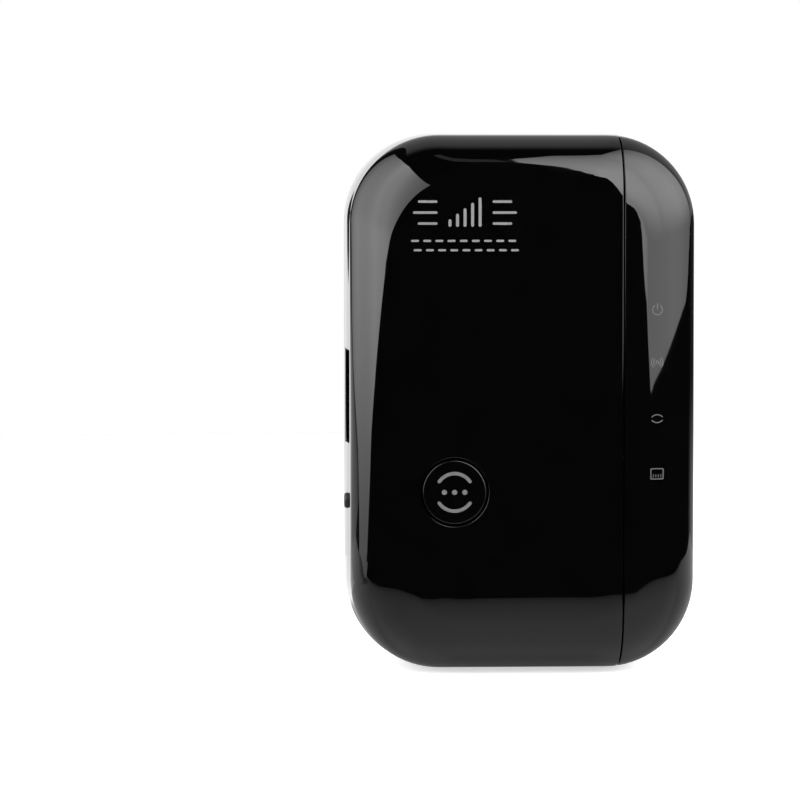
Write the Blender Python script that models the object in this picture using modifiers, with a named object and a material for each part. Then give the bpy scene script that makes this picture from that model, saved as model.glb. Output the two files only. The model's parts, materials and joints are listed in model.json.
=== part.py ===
"""Plug-in wi-fi range extender with a two-pin European plug.

Frame: the origin is the middle of the plug's end face, where it meets the wall socket.
+X is right as seen from the front, +Y points into the wall and +Z is up. Units are metres.
"""

import math

import bmesh
import bpy
from mathutils import Euler, Vector

MM = 0.001
GAP = 0.3 * MM  # clearance between neighbouring pieces

# Body: a crowned front half and a shallow back half, which meet at the parting plane
HALF_WIDTH = 26.0 * MM
HALF_HEIGHT = 40.0 * MM
CORNER_RADIUS = 13.0 * MM
CORNER_SHRINK = 0.55  # how fast the corner radius falls as an outline moves inwards
SMALLEST_CORNER = 3.0 * MM
WALL = 2.0 * MM
BODY_MIDDLE_Z = -8.0 * MM  # the plug sits above the body's middle
FRONT_Y = -48.0 * MM
PARTING_Y = -25.5 * MM
BACK_Y = -16.0 * MM
CROWN = 1.2 * MM  # how far the front face bulges
EDGE_INSET = 8.5 * MM  # width of the rounded border of the front face
EDGE_DEPTH = 9.5 * MM
DRAFT = 0.4 * MM  # how far the side walls lean inwards
BACK_ROUND = 5.0 * MM
FLAT_INSET = 20.0 * MM  # the last outline of the front face
CORNER_STEPS = 8
EDGE_STEPS = 7
BACK_STEPS = 4

# Lip between the two halves: a tongue on the back shell inside a rebate of the front
REBATE_WALL = 0.9 * MM
TONGUE_INSET = REBATE_WALL + GAP
TONGUE_LENGTH = 1.4 * MM

SEAM_X = 14.2 * MM  # between the front cover and the indicator panel
LEDGE_THICKNESS = 1.0 * MM
LEDGE_REACH = 2.5 * MM
LEDGE_HEIGHT = 53.0 * MM
LEDGE_BACK_Y = -42.0 * MM

# Boards, by the plane that each part of them lies in
MAIN_FRONT_Y = -39.5 * MM
BOARD_THICKNESS = 1.2 * MM
MAIN_BACK_Y = MAIN_FRONT_Y + BOARD_THICKNESS
POWER_FRONT_Y = -22.5 * MM
POWER_BACK_Y = POWER_FRONT_Y + BOARD_THICKNESS
SHEET_Y = -35.6 * MM
SHEET_THICKNESS = 0.3 * MM

# Controls on the front and the left side, from the body's middle
BUTTON_X, BUTTON_Z = -10.65 * MM, -12.85 * MM
BUTTON_RADIUS = 4.65 * MM
BUTTON_HOLE_RADIUS = 5.05 * MM
BUTTON_FACE_Y = -47.9 * MM
RESET_Y, RESET_Z = -33.3 * MM, -14.95 * MM
RESET_HOLE_RADIUS = 1.4 * MM
INDICATOR_X = 19.1 * MM
INDICATOR_ZS = [z * MM for z in (13.8, 6.1, -2.15, -10.25)]
INDICATOR_NAMES = ("power", "wireless", "pairing", "network")

# Network socket in the left side
JACK_MOUTH_X = -23.2 * MM
JACK_DEPTH = 15.0 * MM
JACK_MIDDLE_Z = 0.7 * MM
JACK_WIDTH = 16.0 * MM
JACK_HEIGHT = 12.0 * MM
JACK_FRONT_Y = MAIN_BACK_Y + GAP
JACK_PITCH = 1.02 * MM

# Plug
PLUG_HALF_WIDTH = 17.65 * MM
PLUG_HALF_HEIGHT = 6.85 * MM
PIN_X = 9.5 * MM
PIN_LENGTH = 19.0 * MM
PIN_RADIUS = 2.0 * MM
SLEEVE_END = 10.0 * MM
SLEEVE_ROOT = -3.0 * MM
SLEEVE_RADIUS = 1.95 * MM
NECK_RADIUS = 1.2 * MM
COLLAR_RADIUS = 2.6 * MM
FLANGE_FRONT_Y = -19.9 * MM

# Case screws, at the body's corners
SCREW_X, SCREW_Z = 19.0 * MM, 30.5 * MM
SCREW_HEAD_RADIUS = 2.2 * MM
SCREW_SHANK_RADIUS = 1.2 * MM
SCREW_SEAT_Y = -20.5 * MM
BOSS_RADIUS = 3.0 * MM
BOSS_END_Y = -24.9 * MM

FACING_WALL = (math.radians(-90), 0, 0)  # turns a piece's own Z to +Y
FACING_FRONT = (math.radians(90), 0, 0)  # to -Y
FACING_LEFT = (0, math.radians(-90), 0)  # to -X
UPRIGHT = (0, 0, 0)

# Finish: colour, roughness and metallic value
FINISHES = {
    "gloss_black": ((0.006, 0.006, 0.007), 0.08, 0.0),
    "smoked_black": ((0.007, 0.007, 0.008), 0.06, 0.0),
    "satin_black": ((0.012, 0.012, 0.013), 0.35, 0.0),
    "clear_acrylic": ((0.80, 0.82, 0.84), 0.10, 0.0),
    "nickel": ((0.72, 0.70, 0.66), 0.25, 1.0),
    "gold": ((0.83, 0.62, 0.24), 0.25, 1.0),
    "zinc_steel": ((0.60, 0.61, 0.63), 0.35, 1.0),
    "tinned_steel": ((0.66, 0.66, 0.64), 0.30, 1.0),
    "green_board": ((0.015, 0.11, 0.05), 0.45, 0.0),
    "tan_board": ((0.42, 0.30, 0.13), 0.55, 0.0),
    "chip_black": ((0.02, 0.02, 0.022), 0.5, 0.0),
    "ferrite": ((0.05, 0.05, 0.055), 0.6, 0.0),
    "yellow_tape": ((0.75, 0.56, 0.06), 0.4, 0.0),
    "green_sleeve": ((0.02, 0.16, 0.09), 0.35, 0.0),
    "black_sleeve": ((0.02, 0.02, 0.04), 0.35, 0.0),
    "blue_ceramic": ((0.03, 0.16, 0.42), 0.4, 0.0),
    "beige_resistor": ((0.55, 0.47, 0.33), 0.5, 0.0),
    "white_plastic": ((0.78, 0.78, 0.76), 0.4, 0.0),
    "led_body": ((0.85, 0.85, 0.70), 0.3, 0.0),
    "insulation": ((0.80, 0.78, 0.70), 0.5, 0.0),
    "silver_label": ((0.55, 0.56, 0.57), 0.4, 0.0),
}


# ---------------------------------------------------------------- helpers


def clear_scene():
    for obj in list(bpy.data.objects):
        bpy.data.objects.remove(obj)
    model = bpy.data.collections.new("range_extender")
    bpy.context.scene.collection.children.link(model)
    return model


MODEL = clear_scene()


def material(finish):
    """The material of that name, made the first time it is asked for."""
    made = bpy.data.materials.get(finish)
    if made is None:
        colour, roughness, metallic = FINISHES[finish]
        made = bpy.data.materials.new(finish)
        made.use_nodes = True
        shader = made.node_tree.nodes["Principled BSDF"]
        shader.inputs["Base Color"].default_value = (*colour, 1.0)
        shader.inputs["Roughness"].default_value = roughness
        shader.inputs["Metallic"].default_value = metallic
    return made


def spot(x, y, z):
    """A point, from millimetres across and up from the body's middle and towards the wall."""
    return Vector((x * MM, y * MM, z * MM + BODY_MIDDLE_Z))


def add_object(name, mesh, finish, location=(0, 0, 0), rotation=UPRIGHT):
    obj = bpy.data.objects.new(name, mesh)
    obj.location = location
    obj.rotation_euler = rotation
    if not mesh.materials:
        mesh.materials.append(material(finish))
    MODEL.objects.link(obj)
    return obj


def from_bmesh(name, bm, finish, location=(0, 0, 0), rotation=UPRIGHT):
    bmesh.ops.recalc_face_normals(bm, faces=bm.faces)
    mesh = bpy.data.meshes.new(name)
    bm.to_mesh(mesh)
    bm.free()
    return add_object(name, mesh, finish, location, rotation)


def add_box(bm, size, centre=(0, 0, 0)):
    """Adds a box to bm, both in millimetres."""
    made = bmesh.ops.create_cube(bm, size=1.0)["verts"]
    bmesh.ops.scale(bm, vec=Vector(size) * MM, verts=made)
    bmesh.ops.translate(bm, vec=Vector(centre) * MM, verts=made)


def boxes(name, finish, location, *size_and_centre):
    """Boxes in one mesh, each a size and a centre in millimetres from the location."""
    bm = bmesh.new()
    for size, centre in size_and_centre:
        add_box(bm, size, centre)
    return from_bmesh(name, bm, finish, location)


def box(name, finish, location, size, bevel=0.0):
    """One box around the location, its size and its bevel in millimetres."""
    obj = boxes(name, finish, location, (size, (0, 0, 0)))
    if bevel:
        add_bevel(obj, bevel * MM)
    return obj


def add_bevel(obj, width, segments=1, angle=40):
    modifier = obj.modifiers.new("rounded_edges", "BEVEL")
    modifier.width = width
    modifier.segments = segments
    modifier.limit_method = "ANGLE"
    modifier.angle_limit = math.radians(angle)


def rods(name, finish, radius, length, places, rotation=FACING_WALL, sides=16):
    """Cylinders in one mesh. Each place is where a rod starts, and rotation turns its length from +Z."""
    bm = bmesh.new()
    matrix = Euler(rotation).to_matrix().to_4x4()
    for place in places:
        made = bmesh.ops.create_cone(
            bm,
            cap_ends=True,
            segments=sides,
            radius1=radius,
            radius2=radius,
            depth=length,
        )["verts"]
        bmesh.ops.translate(bm, vec=(0, 0, length / 2), verts=made)
        bmesh.ops.transform(bm, matrix=matrix, verts=made)
        bmesh.ops.translate(bm, vec=place, verts=made)
    return from_bmesh(name, bm, finish)


def turned(name, finish, profile, location, rotation=UPRIGHT, sides=20, ring=False):
    """A turned piece. The profile's (radius, height) points are in millimetres, from the top down."""
    mesh = bpy.data.meshes.new(name)
    points = [(radius * MM, 0, height * MM) for radius, height in profile]
    edges = [(i, i + 1) for i in range(len(points) - 1)]
    if ring:
        edges.append((len(points) - 1, 0))
    mesh.from_pydata(points, edges, [])
    obj = add_object(name, mesh, finish, location, rotation)
    screw = obj.modifiers.new("turning", "SCREW")
    screw.steps = sides
    screw.render_steps = sides
    screw.use_merge_vertices = True
    screw.merge_threshold = 0.01 * MM
    screw.use_smooth_shade = True
    return obj


def combine(obj, tool, operation):
    """Applies obj's modifiers and a Boolean with the tool, which is then removed."""
    modifier = obj.modifiers.new(operation.lower(), "BOOLEAN")
    modifier.operation = operation
    modifier.object = tool
    graph = bpy.context.evaluated_depsgraph_get()
    mesh = bpy.data.meshes.new_from_object(obj.evaluated_get(graph))
    obj.modifiers.clear()
    obj.data = mesh
    mesh.name = obj.name
    bpy.data.objects.remove(tool)
    return obj


def cut(obj, tool):
    return combine(obj, tool, "DIFFERENCE")


def join(obj, tool):
    return combine(obj, tool, "UNION")


def keep(obj, tool):
    return combine(obj, tool, "INTERSECT")


def shade_smooth(obj, angle=35):
    for polygon in obj.data.polygons:
        polygon.use_smooth = True
    obj.data.set_sharp_from_angle(angle=math.radians(angle))
    return obj


# ---------------------------------------------------------------- body shells


def rounded_outline(half_width, half_height, radius, steps=CORNER_STEPS):
    """Points of a rounded rectangle, anticlockwise from its right side."""
    points = []
    for side_x, side_z, start in ((1, 1, 0), (-1, 1, 90), (-1, -1, 180), (1, -1, 270)):
        middle_x = side_x * (half_width - radius)
        middle_z = side_z * (half_height - radius)
        for i in range(steps + 1):
            angle = math.radians(start + 90 * i / steps)
            x = middle_x + radius * math.cos(angle)
            z = middle_z + radius * math.sin(angle)
            points.append((x, z))
    return points


def body_ring(inset, y):
    """The body's outline, this far inside its side walls."""
    radius = max(CORNER_RADIUS - CORNER_SHRINK * inset, SMALLEST_CORNER)
    outline = rounded_outline(HALF_WIDTH - inset, HALF_HEIGHT - inset, radius)
    return [(x, y, z + BODY_MIDDLE_Z) for x, z in outline]


def loft(name, rings, finish):
    """A solid through closed outlines with equal numbers of points, with a flat cap at each end."""
    bm = bmesh.new()
    loops = [[bm.verts.new(point) for point in ring] for ring in rings]
    for first, second in zip(loops, loops[1:]):
        for i in range(len(first)):
            j = (i + 1) % len(first)
            bm.faces.new((first[i], first[j], second[j], second[i]))
    bm.faces.new(loops[0])
    bm.faces.new(loops[-1])
    return from_bmesh(name, bm, finish)


def front_profile():
    """(inset, y) of the front half's outer skin, from its rim to the middle of its face."""
    points = [(0.0, PARTING_Y - GAP / 2)]
    for i in range(EDGE_STEPS + 1):
        angle = math.pi / 2 * i / EDGE_STEPS
        inset = DRAFT + (EDGE_INSET - DRAFT) * (1 - math.cos(angle))
        points.append((inset, crowned(inset) + EDGE_DEPTH * (1 - math.sin(angle))))
    for inset in (12.0 * MM, 16.0 * MM, FLAT_INSET):
        points.append((inset, crowned(inset)))
    return points


def crowned(inset):
    return FRONT_Y + CROWN * (1 - inset / HALF_WIDTH) ** 2


def back_profile():
    """(inset, y) of the back shell's outer skin, from its rim to the edge of its flat back."""
    points = [(0.0, PARTING_Y + GAP / 2)]
    for i in range(BACK_STEPS + 1):
        angle = math.pi / 2 * i / BACK_STEPS
        inset = DRAFT + BACK_ROUND * (1 - math.cos(angle))
        points.append((inset, BACK_Y - BACK_ROUND * (1 - math.sin(angle))))
    return points


def offset(profile, distance, towards_back):
    """The profile moved into the body by that distance, square to itself."""
    moved = []
    for i, (inset, y) in enumerate(profile):
        before = profile[max(i - 1, 0)]
        after = profile[min(i + 1, len(profile) - 1)]
        run, rise = after[0] - before[0], after[1] - before[1]
        length = math.hypot(run, rise)
        side = 1 if towards_back else -1
        shift_in = -side * rise / length * distance
        shift_y = side * run / length * distance
        moved.append((inset + shift_in, y + shift_y))
    return moved


def front_shell(name, outer, inner, finish, rim=()):
    """The front half between two depths below its outer skin. The rim's points join the two."""
    skin = offset(front_profile(), outer, True)
    lining = offset(front_profile(), inner, True)
    path = [*reversed(skin), *rim, *lining]
    return loft(name, [body_ring(inset, y) for inset, y in path], finish)


def front_core(name, depth):
    """The solid that fills the front half, from this far below its skin."""
    skin = offset(front_profile(), depth, True)
    path = [*reversed(skin), (skin[0][0], PARTING_Y + 5 * MM)]
    return loft(name, [body_ring(inset, y) for inset, y in path], "gloss_black")


def slab(name, x0, x1, y1=0.0, height=3 * HALF_HEIGHT):
    """A block between two X planes and in front of y1, which is used to divide shells."""
    y0 = FRONT_Y - 5 * MM
    size = Vector((x1 - x0, y1 - y0, height)) / MM
    centre = Vector(((x0 + x1) / 2, (y0 + y1) / 2, BODY_MIDDLE_Z))
    return box(name, "gloss_black", centre, size)


def whole_front(name, finish):
    rebate_y = PARTING_Y - GAP / 2 - TONGUE_LENGTH - GAP
    rim = ((REBATE_WALL, PARTING_Y - GAP / 2), (REBATE_WALL, rebate_y), (WALL, rebate_y))
    skin = list(reversed(front_profile()))
    lining = offset(front_profile(), WALL, True)[1:]
    path = [*skin, *rim, *lining]
    return loft(name, [body_ring(inset, y) for inset, y in path], finish)


def screw_bosses(x):
    """The upper and lower boss that the case screws bite in, on one side of the body."""
    length = BOSS_END_Y - FRONT_Y
    starts = [(x, FRONT_Y, BODY_MIDDLE_Z + z) for z in (SCREW_Z, -SCREW_Z)]
    return rods("bosses", "gloss_black", BOSS_RADIUS, length, starts)


def screw_holes(x):
    """The blind holes of those bosses."""
    depth = 14.0 * MM
    starts = [(x, BOSS_END_Y - depth, BODY_MIDDLE_Z + z) for z in (SCREW_Z, -SCREW_Z)]
    radius = SCREW_SHANK_RADIUS + GAP
    return rods("boss_holes", "gloss_black", radius, depth + 1 * MM, starts, sides=12)


def board_posts():
    """Posts behind the front face that hold the main board."""
    length = MAIN_FRONT_Y - GAP - FRONT_Y
    starts = [(p.x, FRONT_Y, p.z) for p in main_screw_spots()]
    return rods("posts", "gloss_black", 2.2 * MM, length, starts, sides=12)


def main_screw_spots():
    return [spot(-2, 0, 31.3), spot(2, 0, -31.3)]


def make_front_cover():
    """The large glossy panel with the left, top and bottom walls."""
    cover = whole_front("front_cover", "gloss_black")
    cut(cover, slab("right_part", SEAM_X - GAP / 2, HALF_WIDTH * 2))

    # A ledge behind the seam, which carries the indicator panel's edge between its bosses
    depth = WALL + GAP + LEDGE_THICKNESS
    x0, x1, x2 = SEAM_X - 2 * MM, SEAM_X - GAP / 2 - 0.05 * MM, SEAM_X + LEDGE_REACH
    root = front_shell("ledge_root", WALL - 0.5 * MM, depth, "gloss_black")
    keep(root, slab("root_range", x0, x1, LEDGE_BACK_Y, LEDGE_HEIGHT))
    ledge = front_shell("ledge", WALL + GAP, depth, "gloss_black")
    keep(ledge, slab("ledge_range", x0 + 1 * MM, x2, LEDGE_BACK_Y, LEDGE_HEIGHT))
    join(root, ledge)
    join(cover, root)

    inner_parts = screw_bosses(-SCREW_X)
    join(inner_parts, board_posts())
    join(inner_parts, button_guide())
    keep(inner_parts, front_core("cover_core", WALL / 2))
    join(cover, inner_parts)

    cut(cover, screw_holes(-SCREW_X))
    post_depth = 5.0 * MM
    starts = [(p.x, MAIN_FRONT_Y - GAP - post_depth, p.z) for p in main_screw_spots()]
    cut(cover, rods("post_holes", "gloss_black", 1.1 * MM, post_depth + 1 * MM, starts, sides=10))
    button_start = [(BUTTON_X, FRONT_Y - 1 * MM, BODY_MIDDLE_Z + BUTTON_Z)]
    cut(cover, rods("button_hole", "gloss_black", BUTTON_HOLE_RADIUS, 5 * MM, button_start, sides=40))
    cut(cover, jack_window())
    reset_start = [(-HALF_WIDTH + 4 * MM, RESET_Y, BODY_MIDDLE_Z + RESET_Z)]
    hole = rods("reset_hole", "gloss_black", RESET_HOLE_RADIUS, 6 * MM, reset_start, FACING_LEFT)
    cut(cover, hole)
    return shade_smooth(cover)


def button_guide():
    """The ring behind the front face that keeps the button's flange in line."""
    start = (BUTTON_X, FRONT_Y, BODY_MIDDLE_Z + BUTTON_Z)
    ring = rods("guide", "gloss_black", 7.3 * MM, -43.4 * MM - FRONT_Y, [start], sides=24)
    start = (BUTTON_X, FRONT_Y - 1 * MM, BODY_MIDDLE_Z + BUTTON_Z)
    return cut(ring, rods("guide_bore", "gloss_black", 6.3 * MM, 9 * MM, [start], sides=24))


def jack_window():
    """The opening in the left wall in front of the network socket."""
    centre = Vector((-HALF_WIDTH, -32.9 * MM, BODY_MIDDLE_Z + JACK_MIDDLE_Z))
    return box("jack_window", "gloss_black", centre, (7, 8.0, 13.9))


def make_indicator_panel():
    """The narrow smoked panel that covers the lights and wraps round the right side."""
    panel = whole_front("indicator_panel", "smoked_black")
    cut(panel, slab("left_part", -HALF_WIDTH * 2, SEAM_X + GAP / 2))
    bosses = screw_bosses(SCREW_X)
    keep(bosses, front_core("panel_core", WALL / 2))
    join(panel, bosses)
    cut(panel, screw_holes(SCREW_X))
    return shade_smooth(panel)


def plug_outline(grow):
    """The eight-sided outline of the plug, this much larger all round."""
    half_width, half_height = PLUG_HALF_WIDTH + grow, PLUG_HALF_HEIGHT + grow
    shoulder, nose = 4.2 * MM, 3.0 * MM
    quarter = [(half_width, nose), (half_width - shoulder, half_height)]
    right = [(x, -z) for x, z in quarter]
    left = [(-x, z) for x, z in reversed(quarter)]
    return [right[0], *quarter, *left, *((-x, -z) for x, z in quarter), right[1]]


def plug_body(name, y0, grow0, y1, grow1, finish):
    """A block with the plug's outline, from y0 to y1, with its four long edges rounded."""
    rings = [[(x, y, z) for x, z in plug_outline(g)] for y, g in ((y0, grow0), (y1, grow1))]
    return loft(name, rings, finish)


def make_back_shell():
    """The shallow shell behind the parting plane, with the plug's opening and the vents."""
    tongue_y = PARTING_Y - TONGUE_LENGTH
    rim = (
        (TONGUE_INSET, PARTING_Y + GAP / 2),
        (TONGUE_INSET, tongue_y),
        (WALL, tongue_y),
    )
    outer = list(reversed(back_profile()))
    inner = offset(back_profile(), WALL, False)[1:]
    path = [*outer, *rim, *inner]
    shell = loft("back_shell", [body_ring(inset, y) for inset, y in path], "satin_black")

    # Tubes that the case screws pass through, and posts for the power board
    tube_y = BOSS_END_Y + GAP
    tube_starts = [(x, tube_y, z) for x, z in screw_places()]
    length = BACK_Y - 1 * MM - tube_y
    join(shell, rods("tubes", "satin_black", 3.6 * MM, length, tube_starts, sides=20))
    post_y = POWER_BACK_Y + GAP
    post_starts = [(p.x, post_y, p.z) for p in power_screw_spots()]
    length = BACK_Y - 1 * MM - post_y
    join(shell, rods("posts", "satin_black", 2.4 * MM, length, post_starts, sides=12))

    heads = [(x, SCREW_SEAT_Y, z) for x, z in screw_places()]
    head_radius = SCREW_HEAD_RADIUS + GAP
    cut(shell, rods("head_bores", "satin_black", head_radius, 6 * MM, heads, sides=20))
    shanks = [(x, tube_y - 1 * MM, z) for x, z in screw_places()]
    shank_radius = SCREW_SHANK_RADIUS + GAP
    cut(shell, rods("shank_bores", "satin_black", shank_radius, 8 * MM, shanks, sides=12))
    holes = [(p.x, post_y - 1 * MM, p.z) for p in power_screw_spots()]
    cut(shell, rods("post_holes", "satin_black", 1.1 * MM, 4 * MM, holes, sides=10))

    opening = plug_body("opening", BACK_Y - 5 * MM, GAP, BACK_Y + 2 * MM, GAP, "satin_black")
    cut(shell, opening)
    cut(shell, box("label_recess", "satin_black", spot(0, -16, -19), (30.6, 0.8, 16.6)))
    cut(shell, vents())
    return shade_smooth(shell)


def screw_places():
    """(x, z) of the four case screws."""
    return [
        (side * SCREW_X, BODY_MIDDLE_Z + level * SCREW_Z)
        for side in (-1, 1)
        for level in (1, -1)
    ]


def power_screw_spots():
    return [spot(0, 0, 28.5), spot(-4, 0, -27)]


def vents():
    """Slots across the back above the plug, and short ones through the top and bottom walls."""
    slots = []
    for row in range(5):
        slots.append(((22 - 2.4 * row, 6, 1.3), (0, -16, 19.6 + 2.6 * row)))
    for side in (-1, 1):
        for column in range(7):
            slots.append(((1.3, 3.6, 8), (5.0 * (column - 3), -22.6, side * 39)))
    place = Vector((0, 0, BODY_MIDDLE_Z))
    return boxes("vents", "satin_black", place, *slots)


# ---------------------------------------------------------------- plug


def make_plug_insert():
    """The moulded plug body, with a flange behind the back shell's wall."""
    insert = plug_body("plug_insert", BACK_Y - WALL - 2 * GAP, 0.0, 0.0, -0.5 * MM, "satin_black")
    add_bevel(insert, 0.8 * MM, 2, 60)
    flange_y = BACK_Y - WALL - GAP
    flange = plug_body("flange", FLANGE_FRONT_Y, 2 * MM, flange_y, 2 * MM, "satin_black")
    join(insert, flange)
    starts = [(x, FLANGE_FRONT_Y - 1 * MM, 0) for x in (-PIN_X, PIN_X)]
    bore = NECK_RADIUS + GAP
    cut(insert, rods("neck_bores", "satin_black", bore, 22 * MM, starts))
    starts = [(x, SLEEVE_ROOT - GAP, 0) for x in (-PIN_X, PIN_X)]
    bore = SLEEVE_RADIUS + GAP
    cut(insert, rods("sleeve_bores", "satin_black", bore, 8 * MM, starts, sides=20))
    return shade_smooth(insert)


def make_pin(name, x):
    """A brass pin with a round tip, a thin neck inside its sleeve and a collar behind the flange."""
    tip, neck, collar = PIN_RADIUS / MM, NECK_RADIUS / MM, COLLAR_RADIUS / MM
    end, shoulder = PIN_LENGTH / MM, SLEEVE_END / MM + 0.3
    round_steps = 4
    profile = []
    for i in range(round_steps + 1):
        angle = math.pi / 2 * i / round_steps
        profile.append((tip * math.sin(angle), end - tip * (1 - math.cos(angle))))
    collar_y = FLANGE_FRONT_Y / MM - 0.3
    profile += [(tip, shoulder), (neck, shoulder), (neck, collar_y), (collar, collar_y)]
    profile += [(collar, collar_y - 0.8), (0.8, collar_y - 0.8), (0.8, -24.0), (0, -24.0)]
    return turned(name, "nickel", profile, (x, 0, 0), FACING_WALL)


def make_sleeve(name, x):
    """The insulating sleeve over a pin's neck."""
    outer, inner = SLEEVE_RADIUS / MM, NECK_RADIUS / MM + 0.3
    top, bottom = SLEEVE_END / MM, SLEEVE_ROOT / MM
    profile = [(inner, top), (outer, top), (outer, bottom), (inner, bottom)]
    return turned(name, "satin_black", profile, (x, 0, 0), FACING_WALL, ring=True)


# ---------------------------------------------------------------- controls and lights


def make_button():
    """The round button, with a flange that stops it behind the cover."""
    rim = BUTTON_RADIUS / MM
    face = 0.0
    profile = [(0, face + 0.1), (2.4, face + 0.07), (rim - 0.3, face), (rim, face - 0.3)]
    profile += [(rim, -2.4), (5.9, -2.4), (5.9, -3.2), (1.5, -3.2), (1.5, -3.65), (0, -3.65)]
    place = (BUTTON_X, BUTTON_FACE_Y, BODY_MIDDLE_Z + BUTTON_Z)
    return turned("pairing_button", "gloss_black", profile, place, FACING_FRONT, sides=40)


def make_button_switch():
    """The push switch behind the button: a body with four legs, and its plunger."""
    middle_y = MAIN_FRONT_Y / MM - 0.3 - 1.6
    place = Vector((BUTTON_X, middle_y * MM, BODY_MIDDLE_Z + BUTTON_Z))
    body = box("button_switch_body", "chip_black", place, (6, 3.2, 6), 0.25)
    legs = [((1.2, 0.5, 0.7), (x, 1.35, z)) for x in (-3.3, 3.3) for z in (-2.25, 2.25)]
    join(body, boxes("legs", "chip_black", place, *legs))
    bore_y = -40.4 * MM
    bore_start = [(place.x, bore_y - 5 * MM, place.z)]
    cut(body, rods("bore", "chip_black", 2.05 * MM, 5 * MM, bore_start))
    profile = [(0, 2.7), (1.55, 2.7), (1.75, 2.5), (1.75, 0), (0, 0)]
    place = (BUTTON_X, -41.2 * MM, BODY_MIDDLE_Z + BUTTON_Z)
    turned("button_switch_plunger", "white_plastic", profile, place, FACING_FRONT, sides=16)


def make_reset_switch():
    """The sideways push switch in the left side, and its plunger, whose end stands proud."""
    place = Vector((-20.1 * MM, RESET_Y - 0.9 * MM, BODY_MIDDLE_Z + RESET_Z))
    body = box("reset_switch_body", "chip_black", place, (3.4, 7.8, 6), 0.25)
    bore_start = [(-19.1 * MM, RESET_Y, place.z)]
    cut(body, rods("bore", "chip_black", 1.8 * MM, 5 * MM, bore_start, FACING_LEFT, sides=12))
    profile = [(0, 6.75), (0.85, 6.75), (1.15, 6.45), (1.15, 2.0), (1.5, 2.0), (1.5, 0), (0, 0)]
    place = (-19.75 * MM, RESET_Y, BODY_MIDDLE_Z + RESET_Z)
    turned("reset_switch_plunger", "satin_black", profile, place, FACING_LEFT, sides=16)


def make_lights():
    """Four chip LEDs on the main board, and the light guide that carries them to the panel."""
    for name, z in zip(INDICATOR_NAMES, INDICATOR_ZS):
        place = (INDICATOR_X, MAIN_FRONT_Y - GAP - 0.4 * MM, BODY_MIDDLE_Z + z)
        box(f"led_{name}", "led_body", place, (1.4, 0.8, 2.2), 0.15)
    middle_z = sum(INDICATOR_ZS) / len(INDICATOR_ZS)
    place = (INDICATOR_X, -42.2 * MM, BODY_MIDDLE_Z + middle_z)
    guide = box("light_guide", "clear_acrylic", place, (1.6, 0.8, 28))
    starts = [(INDICATOR_X, -43.05 * MM, BODY_MIDDLE_Z + z) for z in INDICATOR_ZS]
    join(guide, rods("posts", "clear_acrylic", 1.0 * MM, 2.05 * MM, starts, sides=16))
    return shade_smooth(guide)


# ---------------------------------------------------------------- network socket


def make_jack():
    """The network socket's housing, open at the left, with its keyed mouth."""
    mouth, depth = JACK_MOUTH_X / MM, JACK_DEPTH / MM
    front, height = JACK_FRONT_Y / MM, JACK_HEIGHT / MM
    level, width = JACK_MIDDLE_Z / MM, JACK_WIDTH / MM
    place = spot(mouth + depth / 2, front + height / 2, level)
    housing = box("network_socket", "satin_black", place, (depth, height, width), 0.3)
    # The plug's body, then the two steps of its latch
    for name, reach, y0, y1, span in (
        ("plug_space", 12.5, -36.7, -29.2, 11.9),
        ("latch_space", 9.0, -29.3, -27.9, 6.2),
        ("latch_nose", 5.0, -28.0, -27.1, 4.0),
    ):
        middle = spot(mouth - 1 + reach / 2, (y0 + y1) / 2, level)
        cut(housing, box(name, "satin_black", middle, (reach + 2, y1 - y0, span)))
    return housing


def make_jack_contacts():
    """Eight sprung contacts, which tilt together about their root when a plug goes in."""
    root = spot(-21.2, -35.7, JACK_MIDDLE_Z / MM)
    length, thickness = 8.2, 0.4
    tilt = math.radians(11)
    bar = rods("bar", "gold", 0.4 * MM, 9.0 * MM, [(0, 0, -4.5 * MM)], UPRIGHT, sides=10)
    wires = [
        ((length, thickness, 0.45), (length / 2, 0, JACK_PITCH / MM * (i - 3.5)))
        for i in range(8)
    ]
    comb = boxes("socket_contacts", "gold", (0, 0, 0), *wires)
    join(comb, bar)
    comb.location = root
    comb.rotation_euler = (0, 0, tilt)
    return comb


# ---------------------------------------------------------------- boards and their parts


def make_boards():
    """The main board behind the front face and the power board in the back shell."""
    main = board("main_board", "green_board", 22.5 * MM, 34.5 * MM, MAIN_FRONT_Y)
    cut(main, corner_notches(3.7 * MM))
    starts = [(p.x, MAIN_FRONT_Y - 2 * MM, p.z) for p in main_screw_spots()]
    cut(main, rods("holes", "green_board", 1.5 * MM, 6 * MM, starts, sides=12))

    power = board("power_board", "tan_board", 21.5 * MM, 32.0 * MM, POWER_FRONT_Y)
    cut(power, corner_notches(4.3 * MM))
    starts = [(p.x, POWER_FRONT_Y - 2 * MM, p.z) for p in power_screw_spots()]
    starts += [(x, POWER_FRONT_Y - 2 * MM, 0) for x in (-PIN_X, PIN_X)]
    cut(power, rods("holes", "tan_board", 1.5 * MM, 6 * MM, starts, sides=12))

    middle_y = (SHEET_Y + SHEET_THICKNESS / 2) / MM
    sheet = box("insulation_sheet", "insulation", spot(3.5, middle_y, 0), (37, 0.3, 53))
    cut(sheet, box("jack_gap", "insulation", spot(-12.5, middle_y, 0.7), (10, 3, 18)))
    cut(sheet, box("header_gap", "insulation", spot(15.5, middle_y, 1.2), (5, 3, 12.5)))


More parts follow.
